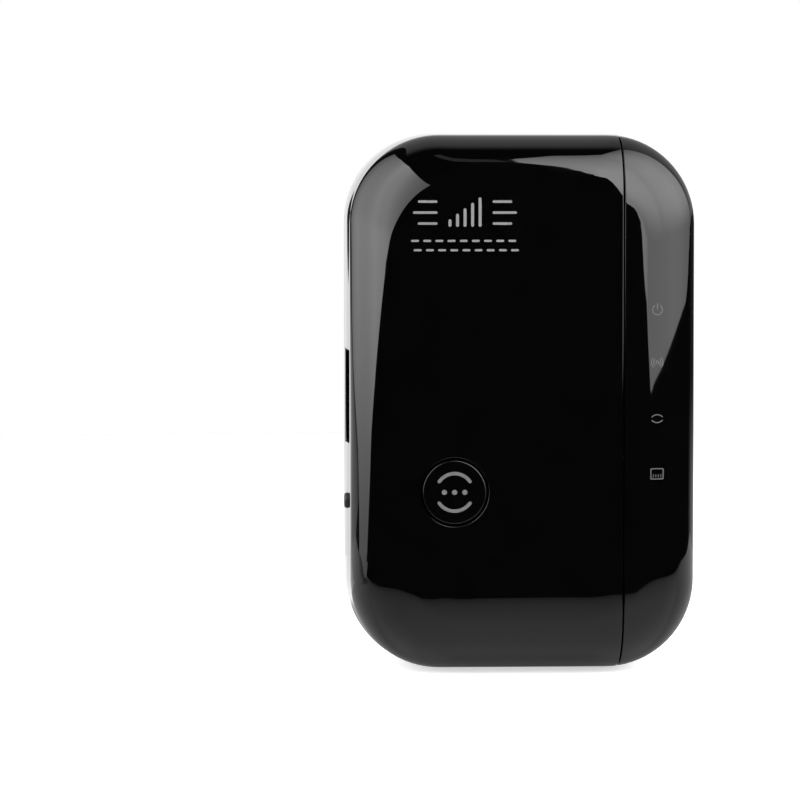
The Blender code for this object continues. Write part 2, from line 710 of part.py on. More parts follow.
def board(name, finish, half_width, half_height, front_y):
    """A circuit board with rounded corners, in the middle of the body, as a filled flat curve."""
    curve = bpy.data.curves.new(name, "CURVE")
    curve.dimensions = "2D"
    curve.fill_mode = "BOTH"
    curve.extrude = BOARD_THICKNESS / 2
    outline = rounded_outline(half_width, half_height, 9.0 * MM)
    spline = curve.splines.new("POLY")
    spline.points.add(len(outline) - 1)
    for point, (x, z) in zip(spline.points, outline):
        point.co = (x, z, 0, 1)
    spline.use_cyclic_u = True
    flat = add_object(name, curve, finish)

    graph = bpy.context.evaluated_depsgraph_get()
    bm = bmesh.new()
    bm.from_mesh(bpy.data.meshes.new_from_object(flat.evaluated_get(graph)))
    bmesh.ops.remove_doubles(bm, verts=bm.verts, dist=0.001 * MM)
    bpy.data.objects.remove(flat)
    place = (0, front_y + BOARD_THICKNESS / 2, BODY_MIDDLE_Z)
    return from_bmesh(name, bm, finish, place, FACING_FRONT)


def corner_notches(radius):
    """Clearance at a board's corners round the screw bosses."""
    starts = [(x, MAIN_FRONT_Y - 2 * MM, z) for x, z in screw_places()]
    return rods("notches", "green_board", radius, 26 * MM, starts, sides=20)


def chip(name, place, size, leads, pitch, finish="chip_black", towards_wall=False):
    """A chip with a row of leads above and below. Place is on the board; sizes are in millimetres."""
    width, thickness, height = size
    side = 1 if towards_wall else -1
    lift = 0.3 + thickness / 2
    centre = Vector(place) + Vector((0, side * lift * MM, 0))
    body = box(name, finish, centre, size, 0.2)
    feet = []
    for i in range(leads):
        x = pitch * (i - (leads - 1) / 2)
        for end in (-1, 1):
            foot = ((0.4, 0.35, 1.2), (x, -side * (thickness / 2 - 0.25), end * (height / 2 + 0.4)))
            feet.append(foot)
    if feet:
        join(body, boxes("leads", finish, centre, *feet))
    return body


def make_main_board_parts():
    """The radio and network parts on the main board."""
    front, back = MAIN_FRONT_Y / MM, MAIN_BACK_Y / MM
    chip("processor", spot(5, front, 0), (12, 1.0, 12), 0, 0)
    chip("memory_chip", spot(-7, front, 1), (5, 1.5, 4), 4, 1.27)
    chip("crystal", spot(14, front, -8), (3.2, 0.8, 2.5), 0, 0, "nickel")
    chip("network_transformer", spot(1, back, 0.7), (12.7, 1.9, 7), 8, 1.27, towards_wall=True)
    chip("inductor", spot(10, front, -16), (4, 2.2, 4), 0, 0, "ferrite")
    make_shield()
    make_antenna("antenna_left", -9.2)
    make_antenna("antenna_right", 9.0)
    profile = [(0, 5.4), (2.9, 5.4), (3.15, 5.1), (3.15, 0.4), (2.6, 0.0), (0, 0.0)]
    place = spot(-2, front - 0.3, -22)
    turned("filter_capacitor", "tinned_steel", profile, place, FACING_FRONT, sides=16)


def make_shield():
    """The pressed tin can over the radio, open towards the board."""
    bm = bmesh.new()
    add_box(bm, (17, 2.4, 11))
    open_side = max(bm.faces, key=lambda face: face.calc_center_median().y)
    bmesh.ops.delete(bm, geom=[open_side], context="FACES_ONLY")
    place = spot(3, MAIN_FRONT_Y / MM - 1.5, 14.5)
    shield = from_bmesh("radio_shield", bm, "tinned_steel", place)
    solidify = shield.modifiers.new("sheet", "SOLIDIFY")
    solidify.thickness = 0.25 * MM
    solidify.use_even_offset = True
    holes = [
        (place.x + 3.4 * MM * column, place.y - 3 * MM, place.z + 3.0 * MM * row)
        for column in (-1.5, -0.5, 0.5, 1.5)
        for row in (-1, 0, 1)
    ]
    return cut(shield, rods("holes", "tinned_steel", 0.6 * MM, 3 * MM, holes, sides=8))


def make_antenna(name, x):
    """A stamped antenna: a plate held off the board by a feed leg and an earth leg."""
    stand = 3.4
    plate = ((13, 0.3, 4.5), (0, -stand, 0))
    feed = ((1.2, stand, 0.3), (-2.5, -stand / 2, -2.1))
    earth = ((1.2, stand, 0.3), (-5.9, -stand / 2, -2.1))
    place = spot(x, MAIN_FRONT_Y / MM - 0.3, 26.3)
    antenna = boxes(name, "nickel", place, plate)
    return join(antenna, boxes("legs", "nickel", place, feed, earth))


def make_header():
    """Four square pins that carry the low voltage from the power board to the main board."""
    place = spot(15.5, MAIN_BACK_Y / MM + 0.3, 1.2)
    bar = boxes("power_header", "chip_black", place, ((2.5, 2.5, 10.2), (0, 1.25, 0)))
    length = (POWER_FRONT_Y - MAIN_BACK_Y) / MM - 0.9
    pins = [((0.64, length, 0.64), (0, length / 2 + 0.1, 2.54 * (i - 1.5))) for i in range(4)]
    return join(bar, boxes("pins", "chip_black", place, *pins))


def capacitor(name, place, radius, height, finish):
    """A standing electrolytic capacitor, with the groove above its rubber seal."""
    profile = [
        (0, height - 0.15),
        (radius - 1.0, height - 0.15),
        (radius - 0.6, height),
        (radius - 0.2, height),
        (radius, height - 0.3),
        (radius, 1.9),
        (radius - 0.35, 1.5),
        (radius, 1.1),
        (radius, 0.2),
        (radius - 0.4, 0.0),
        (0, 0.0),
    ]
    return turned(name, finish, profile, place, FACING_FRONT, sides=18)


def make_power_parts():
    """The mains side and the low-voltage side of the power board."""
    base = POWER_FRONT_Y / MM - 0.3
    front = POWER_FRONT_Y / MM
    capacitor("bulk_capacitor_left", spot(-15.5, base, 19.5), 4.0, 11.5, "black_sleeve")
    capacitor("bulk_capacitor_right", spot(-6.2, base, 19.5), 4.0, 11.5, "black_sleeve")
    capacitor("output_capacitor", spot(12.5, base, -21.5), 4.0, 11.0, "green_sleeve")
    chip("rectifier", spot(2.5, front, 19.5), (4.7, 2.4, 4), 2, 2.54)
    chip("power_controller", spot(-14, front, -13), (4.9, 1.5, 3.9), 4, 1.27)
    chip("optocoupler", spot(-13, front, -22.5), (4.6, 3.0, 6.4), 2, 2.54)
    chip("output_diode", spot(16.5, front, -10), (2.7, 2.2, 4.4), 1, 1)
    drum = [(0, 8), (3, 8), (3, 6.8), (1.9, 6.4), (1.9, 1.6), (3, 1.2), (3, 0), (0, 0)]
    turned("input_choke", "ferrite", drum, spot(8.5, base, 24), FACING_FRONT, sides=18)
    make_fuse()
    make_safety_capacitor()
    make_transformer(spot(6.5, 0, -6))


def make_fuse():
    """The fusible resistor, with fatter ends and a lead at each end."""
    half = [(0, 7.2), (0.35, 7.2), (0.35, 4.6), (1.5, 4.4), (1.75, 3.9), (1.75, 3.2), (1.45, 2.8)]
    profile = half + [(radius, -height) for radius, height in reversed(half)]
    place = spot(15.8, POWER_FRONT_Y / MM - 2.4, 17.0)
    return turned("fuse_resistor", "beige_resistor", profile, place, UPRIGHT, sides=14)


def make_safety_capacitor():
    """The ceramic disc that bridges the mains side and the low-voltage side."""
    profile = [(0, 1.4), (3.2, 1.3), (4.0, 0.7), (4.0, -0.7), (3.2, -1.3), (0, -1.4)]
    place = spot(-4, POWER_FRONT_Y / MM - 4.6, -18.5)
    return turned("safety_capacitor", "blue_ceramic", profile, place, UPRIGHT, sides=18)


def make_transformer(place):
    """The switching transformer: a pinned base, a taped coil and a ferrite core through it."""
    base_y, coil_y = POWER_FRONT_Y / MM - 1.1, -29.2
    middle = Vector((place.x, base_y * MM, place.z))
    base = boxes("transformer_base", "chip_black", middle, ((13.5, 1.6, 13), (0, 0, 0)))
    pins = [((0.7, 1.2, 0.9), (x, 0.1, z)) for x in (-5, -1.7, 1.7, 5) for z in (-6.7, 6.7)]
    join(base, boxes("pins", "chip_black", middle, *pins))

    middle = Vector((place.x, coil_y * MM, place.z))
    leg = (4.2, 6.6, 20)
    coil = box("transformer_coil", "yellow_tape", middle, (7.4, 9.4, 8.2), 0.9)
    cut(coil, box("leg_space", "yellow_tape", middle, leg))

    core = box("transformer_core", "ferrite", middle, (13, 6, 12.6))
    windows = [((2.2, 8, 8.8), (x, 0, 0)) for x in (-2.9, 2.9)]
    cut(core, boxes("windows", "ferrite", middle, *windows))


# ---------------------------------------------------------------- fasteners and label


def screw_mesh(length, head_radius, shank_radius):
    """A pan-head screw with a cross recess, head up, its head's underside at the origin."""
    head, shank = head_radius / MM, shank_radius / MM
    rise = 0.72 * head
    profile = [(0, rise), (0.6 * head, 0.95 * rise), (0.9 * head, 0.6 * rise), (head, 0.3 * rise)]
    profile += [(head, 0), (shank, 0), (shank, -length + shank), (0.2, -length), (0, -length)]
    screw = turned("screw", "zinc_steel", profile, (0, 0, 0), UPRIGHT, sides=16)
    arm, slot, middle = 1.1 * head, 0.25 * head, (0, 0, 1.1 * rise)
    cross = boxes("cross", "zinc_steel", (0, 0, 0), ((arm, slot, rise), middle))
    join(cross, boxes("cross_bar", "zinc_steel", (0, 0, 0), ((slot, arm, rise), middle)))
    cut(screw, cross)
    shade_smooth(screw)
    mesh = screw.data
    bpy.data.objects.remove(screw)
    return mesh


def make_screws():
    """Four case screws from behind, and two for each board."""
    case_screw = screw_mesh(11.0, SCREW_HEAD_RADIUS, SCREW_SHANK_RADIUS)
    board_screw = screw_mesh(4.0, 1.4 * MM, 0.75 * MM)
    names = ("upper_left", "lower_left", "upper_right", "lower_right")
    for name, (x, z) in zip(names, screw_places()):
        place = (x, SCREW_SEAT_Y + GAP, z)
        add_object(f"case_screw_{name}", case_screw, "zinc_steel", place, FACING_WALL)
    for name, place in zip(("upper", "lower"), main_screw_spots()):
        place.y = MAIN_BACK_Y + GAP
        add_object(f"main_board_screw_{name}", board_screw, "zinc_steel", place, FACING_WALL)
    for name, place in zip(("upper", "lower"), power_screw_spots()):
        place.y = POWER_FRONT_Y - GAP
        add_object(f"power_board_screw_{name}", board_screw, "zinc_steel", place, FACING_FRONT)


def make_label():
    """The blank rating label in its recess on the back."""
    return box("rating_label", "silver_label", spot(0, -16.2, -19), (30, 0.2, 16))


make_front_cover()
make_indicator_panel()
make_back_shell()
make_plug_insert()
for side_name, side_x in (("left", -PIN_X), ("right", PIN_X)):
    make_pin(f"plug_pin_{side_name}", side_x)
    make_sleeve(f"pin_sleeve_{side_name}", side_x)
make_button()
make_button_switch()
make_reset_switch()
make_lights()
make_jack()
make_jack_contacts()
make_boards()
make_main_board_parts()
make_header()
make_power_parts()
make_screws()
make_label()
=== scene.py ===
import json
import math

import bmesh
import bpy
from mathutils import Euler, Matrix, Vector
from mathutils.bvhtree import BVHTree
from mathutils.geometry import barycentric_transform


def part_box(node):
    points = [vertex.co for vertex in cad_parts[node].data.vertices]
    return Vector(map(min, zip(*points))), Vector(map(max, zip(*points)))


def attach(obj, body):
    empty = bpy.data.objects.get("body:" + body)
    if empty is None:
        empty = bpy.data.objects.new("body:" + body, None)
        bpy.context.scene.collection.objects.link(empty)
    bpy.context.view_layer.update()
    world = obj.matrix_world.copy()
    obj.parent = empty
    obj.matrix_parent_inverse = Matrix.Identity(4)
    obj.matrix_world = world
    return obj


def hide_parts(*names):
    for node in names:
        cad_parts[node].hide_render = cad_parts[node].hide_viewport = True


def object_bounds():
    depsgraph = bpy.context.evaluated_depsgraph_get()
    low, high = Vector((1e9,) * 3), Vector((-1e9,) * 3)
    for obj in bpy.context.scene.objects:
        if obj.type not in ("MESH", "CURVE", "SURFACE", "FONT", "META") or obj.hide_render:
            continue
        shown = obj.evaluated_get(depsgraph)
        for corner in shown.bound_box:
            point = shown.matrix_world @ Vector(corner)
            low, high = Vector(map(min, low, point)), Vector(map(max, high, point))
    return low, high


# The looks of the wi-fi range extender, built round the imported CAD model. Units are metres, in the
# CAD model's frame: +X is right as seen from the front, +Y points into the wall and +Z is up.

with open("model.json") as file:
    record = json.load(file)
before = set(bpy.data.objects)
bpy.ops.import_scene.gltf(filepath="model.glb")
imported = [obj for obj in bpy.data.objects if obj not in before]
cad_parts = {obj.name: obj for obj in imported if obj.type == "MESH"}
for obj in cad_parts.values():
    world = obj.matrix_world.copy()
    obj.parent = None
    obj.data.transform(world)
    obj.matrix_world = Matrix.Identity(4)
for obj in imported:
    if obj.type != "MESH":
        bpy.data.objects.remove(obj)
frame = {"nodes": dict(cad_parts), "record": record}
CAD_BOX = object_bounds()

MM = 0.001
GAP = 0.3 * MM  # between touching pieces


def box_of(node):
    """The lowest and highest corners of a CAD node at rest."""
    return tuple(Vector(corner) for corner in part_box(node))


def middle_of(node):
    return sum(box_of(node), Vector()) / 2


# The body, whose sizes are the CAD model's
BODY_LOW, BODY_HIGH = box_of("back_shell")
BODY_MIDDLE_Z = (BODY_LOW.z + BODY_HIGH.z) / 2
HALF_WIDTH = (BODY_HIGH.x - BODY_LOW.x) / 2
HALF_HEIGHT = (BODY_HIGH.z - BODY_LOW.z) / 2
BACK_Y = BODY_HIGH.y
LEFT_WALL_X = -HALF_WIDTH + 0.06 * MM  # where the draft leaves the wall beside the socket
FRONT_Y = -47.97 * MM
PARTING_Y = -25.5 * MM
WALL = 2.0 * MM
CORNER_RADIUS = 13.4 * MM
CORNER_SHRINK = 0.55  # how much the corner radius shrinks for each millimetre of inset
CROWN = 1.2 * MM
CROWN_INSET = 17.0 * MM  # the face is flat further in than this
EDGE_INSET = 8.5 * MM  # how far in and how far back the face's rounded edge reaches
EDGE_DEPTH = 9.5 * MM
DRAFT = 0.4 * MM
BACK_ROUND = 5.0 * MM
BACK_FLAT_INSET = 9.0 * MM
RIM_ROUND = 0.35 * MM
TONGUE_INSET = 1.2 * MM
TONGUE_LENGTH = 1.4 * MM
SEAM_X = 14.2 * MM
SEAM_ROUND = 0.14 * MM
SEAM_GAP = 0.2 * MM
CORNER_STEPS = 20
LONG_STEPS = 14
SHORT_STEPS = 9
EDGE_STEPS = 30

BUTTON_PLACE = middle_of("pairing_button")
BUTTON_FACE_Y = -47.89 * MM
BUTTON_RADIUS = 4.65 * MM
BUTTON_HOLE_RADIUS = 5.05 * MM
BUTTON_HOLE_LIP = 0.12 * MM
INDICATOR_NAMES = ("power", "wireless", "pairing", "network")

FACING_WALL = (math.radians(-90), 0, 0)
FACING_FRONT = (math.radians(90), 0, 0)
FACING_LEFT = (0, math.radians(-90), 0)


# ---- materials


def fill(node, inputs):
    """Sets the node's named inputs to numbers, or links them to sockets."""
    for name, value in inputs.items():
        if isinstance(value, bpy.types.NodeSocket):
            node.id_data.links.new(value, node.inputs[name])
        else:
            node.inputs[name].default_value = value
    return node


def map_range(tree, value, start, end, low, high):
    """The value with its range from start to end mapped to that from low to high."""
    inputs = {"Value": value, "From Min": start, "From Max": end, "To Min": low, "To Max": high}
    return fill(tree.nodes.new("ShaderNodeMapRange"), inputs)


class Finish:
    """A node-based material around one Principled shader, with helpers for its patterns."""

    def __init__(self, name, **sockets):
        self.material = bpy.data.materials.new(name)
        self.material.use_nodes = True
        self.tree = self.material.node_tree
        self.nodes = self.tree.nodes
        self.shader = self.nodes["Principled BSDF"]
        self.place = self.nodes.new("ShaderNodeTexCoord").outputs["Object"]
        for socket, value in sockets.items():
            self.shader.inputs[socket.replace("_", " ")].default_value = value

    def drive(self, socket, value):
        self.tree.links.new(value, self.shader.inputs[socket])

    def noise(self, size, detail=3.0, stretch=(1, 1, 1)):
        """A noise whose features are about this large, in metres."""
        inputs = {"Scale": stretch, "Vector": self.place}
        place = fill(self.nodes.new("ShaderNodeMapping"), inputs).outputs["Vector"]
        inputs = {"Scale": 1 / size, "Detail": detail, "Vector": place}
        return fill(self.nodes.new("ShaderNodeTexNoise"), inputs).outputs["Fac"]

    def spread(self, value, low, high):
        """A noise's value, most of which lies round the middle, spread from low to high."""
        return map_range(self.tree, value, 0.35, 0.65, low, high).outputs["Result"]

    def colour(self, value, first, second):
        """Base colour that goes from first to second as the value goes from 0 to 1."""
        mix = self.nodes.new("ShaderNodeMix")
        mix.data_type = "RGBA"
        mix.inputs["A"].default_value = (*first, 1)
        mix.inputs["B"].default_value = (*second, 1)
        self.tree.links.new(value, mix.inputs["Factor"])
        self.drive("Base Color", mix.outputs["Result"])

    def roughness(self, value):
        self.drive("Roughness", value)

    def bump(self, height, depth):
        """Relief of this depth, in metres."""
        inputs = {"Strength": 1.0, "Distance": depth, "Height": height}
        self.drive("Normal", fill(self.nodes.new("ShaderNodeBump"), inputs).outputs["Normal"])


def shade(colour, factor):
    return tuple(min(part * factor, 1.0) for part in colour)


def uneven(name, colours, clouds, gloss, relief, **sockets):
    """A material that drifts between two colours, in clouds of a size in millimetres.

    gloss is the (size, detail, lowest, highest) of its roughness, and relief the
    (size, detail, depth) of its surface, with sizes and depth in millimetres."""
    finish = Finish(name, **sockets)
    finish.colour(finish.spread(finish.noise(clouds * MM), 0, 1), *colours)
    size, detail, lowest, highest = gloss
    finish.roughness(finish.spread(finish.noise(size * MM, detail), lowest, highest))
    size, detail, depth = relief
    finish.bump(finish.noise(size * MM, detail), depth * MM)
    return finish.material


def gloss_plastic(name, colour, smoothest=0.012, dullest=0.026):
    """Polished moulded plastic: a faint waviness and a little dust haze in the gloss."""
    colours, gloss = (colour, shade(colour, 1.5)), (2.5, 5, smoothest, dullest)
    return uneven(name, colours, 6, gloss, (14, 1, 0.006), IOR=1.5, Specular_IOR_Level=0.5)


def satin_plastic(name, colour):
    """Spark-eroded moulded plastic, with a fine grain."""
    colours = (colour, shade(colour, 1.35))
    return uneven(name, colours, 4, (0.8, 3, 0.42, 0.56), (0.22, 2, 0.012), IOR=1.48)


def moulded(name, colour, roughness=0.45):
    colours, gloss = (colour, shade(colour, 1.25)), (0.5, 3, roughness - 0.06, roughness + 0.06)
    return uneven(name, colours, 1.5, gloss, (0.15, 2, 0.004), IOR=1.5)


def printed(name, colour):
    """Metallic ink, slightly uneven."""
    colours = (shade(colour, 0.88), colour)
    return uneven(name, colours, 0.5, (0.3, 3, 0.38, 0.5), (0.12, 2, 0.003), Metallic=0.35, IOR=1.5)


def metal(name, colour, roughness, stretch=(1, 12, 1)):
    """Drawn or plated metal, with fine lines along one direction."""
    finish = Finish(name, Metallic=1.0)
    lines = finish.noise(0.35 * MM, 4, stretch)
    finish.colour(finish.spread(finish.noise(3 * MM), 0, 1), shade(colour, 0.86), colour)
    finish.roughness(finish.spread(lines, roughness - 0.07, roughness + 0.09))
    finish.bump(lines, 0.0015 * MM)
    return finish.material


def circuit_board(name, colour):
    """Solder mask over copper: straight tracks and rectangular patches show as a lighter relief."""
    finish = Finish(name, IOR=1.5)
    inputs = {"Rotation": (math.radians(90), 0, 0), "Vector": finish.place}
    upright = fill(finish.nodes.new("ShaderNodeMapping"), inputs)
    tracks = fill(
        finish.nodes.new("ShaderNodeTexBrick"),
        {
            "Vector": upright.outputs["Vector"],
            "Scale": 1 / (3.2 * MM),
            "Mortar Size": 0.08,
            "Color1": (0, 0, 0, 1),
            "Color2": (0.25, 0.25, 0.25, 1),
            "Mortar": (1, 1, 1, 1),
        },
    ).outputs["Color"]
    finish.colour(tracks, colour, shade(colour, 1.9))
    finish.roughness(finish.spread(finish.noise(1 * MM), 0.3, 0.42))
    finish.bump(tracks, 0.03 * MM)
    return finish.material


def wound(name, colour):
    """Tape or lacquer over turns of wire: fine rings across the piece."""
    finish = Finish(name, IOR=1.5)
    inputs = {"Scale": 1 / (1.4 * MM), "Distortion": 0.6, "Vector": finish.place}
    wave = fill(finish.nodes.new("ShaderNodeTexWave"), inputs)
    wave.bands_direction = "Y"
    finish.colour(wave.outputs["Fac"], shade(colour, 0.8), colour)
    finish.roughness(finish.spread(finish.noise(0.6 * MM), 0.28, 0.45))
    finish.bump(wave.outputs["Fac"], 0.02 * MM)
    return finish.material


def clear_plastic(name):
    finish = Finish(name, IOR=1.49, Transmission_Weight=0.9)
    finish.colour(finish.noise(5 * MM), (0.86, 0.88, 0.9), (0.93, 0.94, 0.95))
    finish.roughness(finish.spread(finish.noise(1 * MM), 0.04, 0.1))
    finish.bump(finish.noise(2 * MM, 1), 0.004 * MM)
    return finish.material


MATERIALS = {
    "gloss_black": gloss_plastic("gloss_black_plastic", (0.0005, 0.0005, 0.00055)),
    "smoked_black": gloss_plastic("smoked_black_plastic", (0.00055, 0.00055, 0.0006)),
    "satin_black": satin_plastic("satin_black_plastic", (0.014, 0.014, 0.015)),
    "clear_acrylic": clear_plastic("clear_guide_plastic"),
    "nickel": metal("nickel_plate", (0.74, 0.71, 0.66), 0.2, (1, 0.08, 1)),
    "gold": metal("gold_plate", (0.83, 0.62, 0.26), 0.22, (0.08, 1, 1)),
    "zinc_steel": metal("zinc_plated_steel", (0.62, 0.63, 0.65), 0.3),
    "tinned_steel": metal("tinned_sheet", (0.66, 0.66, 0.65), 0.3),
    "green_board": circuit_board("green_solder_mask", (0.012, 0.10, 0.045)),
    "tan_board": circuit_board("bare_laminate", (0.36, 0.25, 0.11)),
    "chip_black": moulded("chip_resin", (0.018, 0.018, 0.02), 0.5),
    "ferrite": moulded("sintered_ferrite", (0.045, 0.045, 0.05), 0.6),
    "yellow_tape": wound("winding_tape", (0.75, 0.54, 0.05)),
    "aluminium_can": metal("aluminium_can", (0.62, 0.62, 0.63), 0.3),
    "black_sleeve": moulded("black_sleeve", (0.015, 0.015, 0.03), 0.33),
    "green_sleeve": moulded("green_sleeve", (0.02, 0.14, 0.08), 0.33),
    "blue_ceramic": moulded("blue_lacquer", (0.03, 0.15, 0.4), 0.3),
    "beige_resistor": wound("beige_lacquer", (0.55, 0.46, 0.32)),
    "white_plastic": moulded("white_plastic", (0.72, 0.72, 0.7), 0.4),
    "led_body": moulded("led_resin", (0.82, 0.82, 0.66), 0.25),
    "insulation": moulded("fibre_sheet", (0.62, 0.58, 0.46), 0.7),
    "silver_label": printed("silver_foil", (0.5, 0.51, 0.52)),
}
WORN_EDGE = gloss_plastic("worn_gloss_edge", (0.002, 0.002, 0.0021), 0.24, 0.32)
SILVER_INK = printed("silver_ink", (0.2, 0.2, 0.204))
BUTTON_INK = printed("button_ink", (0.13, 0.13, 0.133))
GREY_INK = printed("grey_ink", (0.085, 0.085, 0.088))
FAINT_INK = printed("faint_grey_ink", (0.09, 0.09, 0.092))
DARK_INK = moulded("dark_ink", (0.03, 0.03, 0.03), 0.5)


def finish_cad_nodes():
    """Gives every CAD node the material of its slot."""
    for part in frame["record"]["subparts"]:
        obj = frame["nodes"][part["node"]]
        obj.data.materials.clear()
        obj.data.materials.append(MATERIALS[part["material_slot"]])


# ---- mesh helpers


def new_object(name, mesh, finish=None):
    obj = bpy.data.objects.new(name, mesh)
    mesh.materials.clear()
    mesh.materials.append(finish or MATERIALS["satin_black"])
    bpy.context.scene.collection.objects.link(obj)
    return obj


def from_bmesh(name, bm, finish=None, normals=True):
    if normals:
        bmesh.ops.recalc_face_normals(bm, faces=bm.faces)
    mesh = bpy.data.meshes.new(name)
    bm.to_mesh(mesh)
    bm.free()
    return new_object(name, mesh, finish)


def apply_modifiers(obj):
    graph = bpy.context.evaluated_depsgraph_get()
    mesh = bpy.data.meshes.new_from_object(obj.evaluated_get(graph))
    obj.modifiers.clear()
    obj.data = mesh
    mesh.name = obj.name


def combine(obj, tool, operation):
    modifier = obj.modifiers.new("combine", "BOOLEAN")
    modifier.operation = operation
    modifier.object = tool
    apply_modifiers(obj)
    bpy.data.objects.remove(tool)


def cut(obj, tool):
    combine(obj, tool, "DIFFERENCE")


def join(obj, tool):
    combine(obj, tool, "UNION")


def shade_smooth(obj):
    for polygon in obj.data.polygons:
        polygon.use_smooth = True
    obj.data.set_sharp_from_angle(angle=math.radians(35))


def turned(name, profile, location, rotation, sides=64, closed=False):
    """A turned piece from (radius, height) points in millimetres, from the top down."""
    mesh = bpy.data.meshes.new(name)
    points = [(radius * MM, 0, height * MM) for radius, height in profile]
    edges = [(i, i + 1) for i in range(len(points) - 1)]
    if closed:
        edges.append((len(points) - 1, 0))
    mesh.from_pydata(points, edges, [])
    obj = new_object(name, mesh)
    obj.location = location
    obj.rotation_euler = rotation
    screw = obj.modifiers.new("turning", "SCREW")
    screw.steps = sides
    screw.render_steps = sides
    screw.use_merge_vertices = True
    screw.merge_threshold = 0.003 * MM
    apply_modifiers(obj)
    return obj


def arc(centre, radius, start, end, steps):
    """(x, y) points of an arc, with its angles in degrees."""
    points = []
    for i in range(steps + 1):
        angle = math.radians(start + (end - start) * i / steps)
        x = centre[0] + radius * math.cos(angle)
        y = centre[1] + radius * math.sin(angle)
        points.append((x, y))
    return points


def quarter(steps):
    """Angles from 0 to a right angle."""
    return [math.pi / 2 * i / steps for i in range(steps + 1)]


def corner_arcs(half_width, half_height, radius, steps):
    """The four arcs of a rounded box's corners, counterclockwise from the upper right."""
    corners = ((1, 1, 0), (-1, 1, 90), (-1, -1, 180), (1, -1, 270))
    arcs = []
    for side_x, side_y, start in corners:
        centre = (side_x * (half_width - radius), side_y * (half_height - radius))
        arcs.append(arc(centre, radius, start, start + 90, steps))
    return arcs


def bridge(bm, loops):
    """Joins closed loops of vertices with faces, each to the next."""
    for first, second in zip(loops, loops[1:]):
        for i in range(len(first)):
            j = (i + 1) % len(first)
            bm.faces.new((first[i], first[j], second[j], second[i]))


def bore_cutter(name, hole, lip, depth, place, rotation, sides, steps=4):
    """A round cutter, in millimetres, that opens out in a rounded lip at height 0."""
    above = 3
    rounding = arc((hole + lip, -lip), lip, 90, 180, steps)
    profile = [(0, above), (hole + lip, above), *rounding, (hole, -depth), (0, -depth)]
    return turned(name, profile, place, rotation, sides=sides)


def stand_in(piece, body, node, slot):
    """The piece rides on the body, takes the CAD node's place and has the slot's finish."""
    piece.data.materials[0] = MATERIALS[slot]
    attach(piece, body)
    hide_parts(node)


# ---- body shells


def outline(inset):
    """The body's outline, this far inside its side walls, as (x, z) points from the middle."""
    radius = CORNER_RADIUS - CORNER_SHRINK * inset
    arcs = corner_arcs(HALF_WIDTH - inset, HALF_HEIGHT - inset, radius, CORNER_STEPS)
    points = []
    for i, corner in enumerate(arcs):
        points += corner
        (x0, z0), (x1, z1) = corner[-1], arcs[(i + 1) % 4][0]
        steps = SHORT_STEPS if i % 2 == 0 else LONG_STEPS
        for j in range(1, steps):
            points.append((x0 + (x1 - x0) * j / steps, z0 + (z1 - z0) * j / steps))
    return points


def ring(inset, y):
    return [(x, y, z + BODY_MIDDLE_Z) for x, z in outline(inset)]


def loft(name, rings):
    """A solid through closed rings of points, capped at both ends."""
    bm = bmesh.new()
    loops = [[bm.verts.new(point) for point in points] for points in rings]
    bridge(bm, loops)
    bm.faces.new(loops[0])
    bm.faces.new(loops[-1])
    return from_bmesh(name, bm)


def crowned(inset):
    return FRONT_Y + CROWN * max(1 - inset / CROWN_INSET, 0) ** 3


def front_skin_profile():
    """(inset, y) from the rim of the front half to the flat middle of its face."""
    rim_y = PARTING_Y - GAP / 2
    points = []
    for angle in quarter(5):
        inset = RIM_ROUND * (1 - math.sin(angle))
        points.append((inset, rim_y - RIM_ROUND * (1 - math.cos(angle))))
    for i in range(1, 6):
        share = i / 6
        y = rim_y - RIM_ROUND + (FRONT_Y + EDGE_DEPTH + CROWN - rim_y + RIM_ROUND) * share
        points.append((DRAFT * share**2, y))
    for angle in quarter(EDGE_STEPS):
        inset = DRAFT + (EDGE_INSET - DRAFT) * (1 - math.cos(angle))
        points.append((inset, crowned(inset) + EDGE_DEPTH * (1 - math.sin(angle))))
    steps = 10
    for i in range(1, steps + 1):
        inset = EDGE_INSET + (CROWN_INSET - EDGE_INSET) * i / steps
        points.append((inset, crowned(inset)))
    return points


def lining_profile(rim):
    """(inset, y) of the front half's lining, from behind its rim to the middle."""
    points = list(rim)
    for angle in quarter(10)[1:]:
        inset = WALL + DRAFT + (EDGE_INSET - DRAFT - WALL / 2) * (1 - math.cos(angle))
        y = FRONT_Y + WALL + CROWN * 0.5 + (EDGE_DEPTH - WALL / 2) * (1 - math.sin(angle))
        points.append((inset, y))
    points.append((13 * MM, FRONT_Y + WALL))
    return points


def front_half():
    rim_y = PARTING_Y - GAP / 2
    rebate_y = rim_y - TONGUE_LENGTH - GAP
    rebate = 0.9 * MM
    rim = [(rebate, rim_y), (rebate, rebate_y), (WALL, rebate_y), (WALL + 0.05 * MM, -34 * MM)]
    path = [*reversed(front_skin_profile()), *lining_profile(rim)]
    return loft("front_half", [ring(inset, y) for inset, y in path])


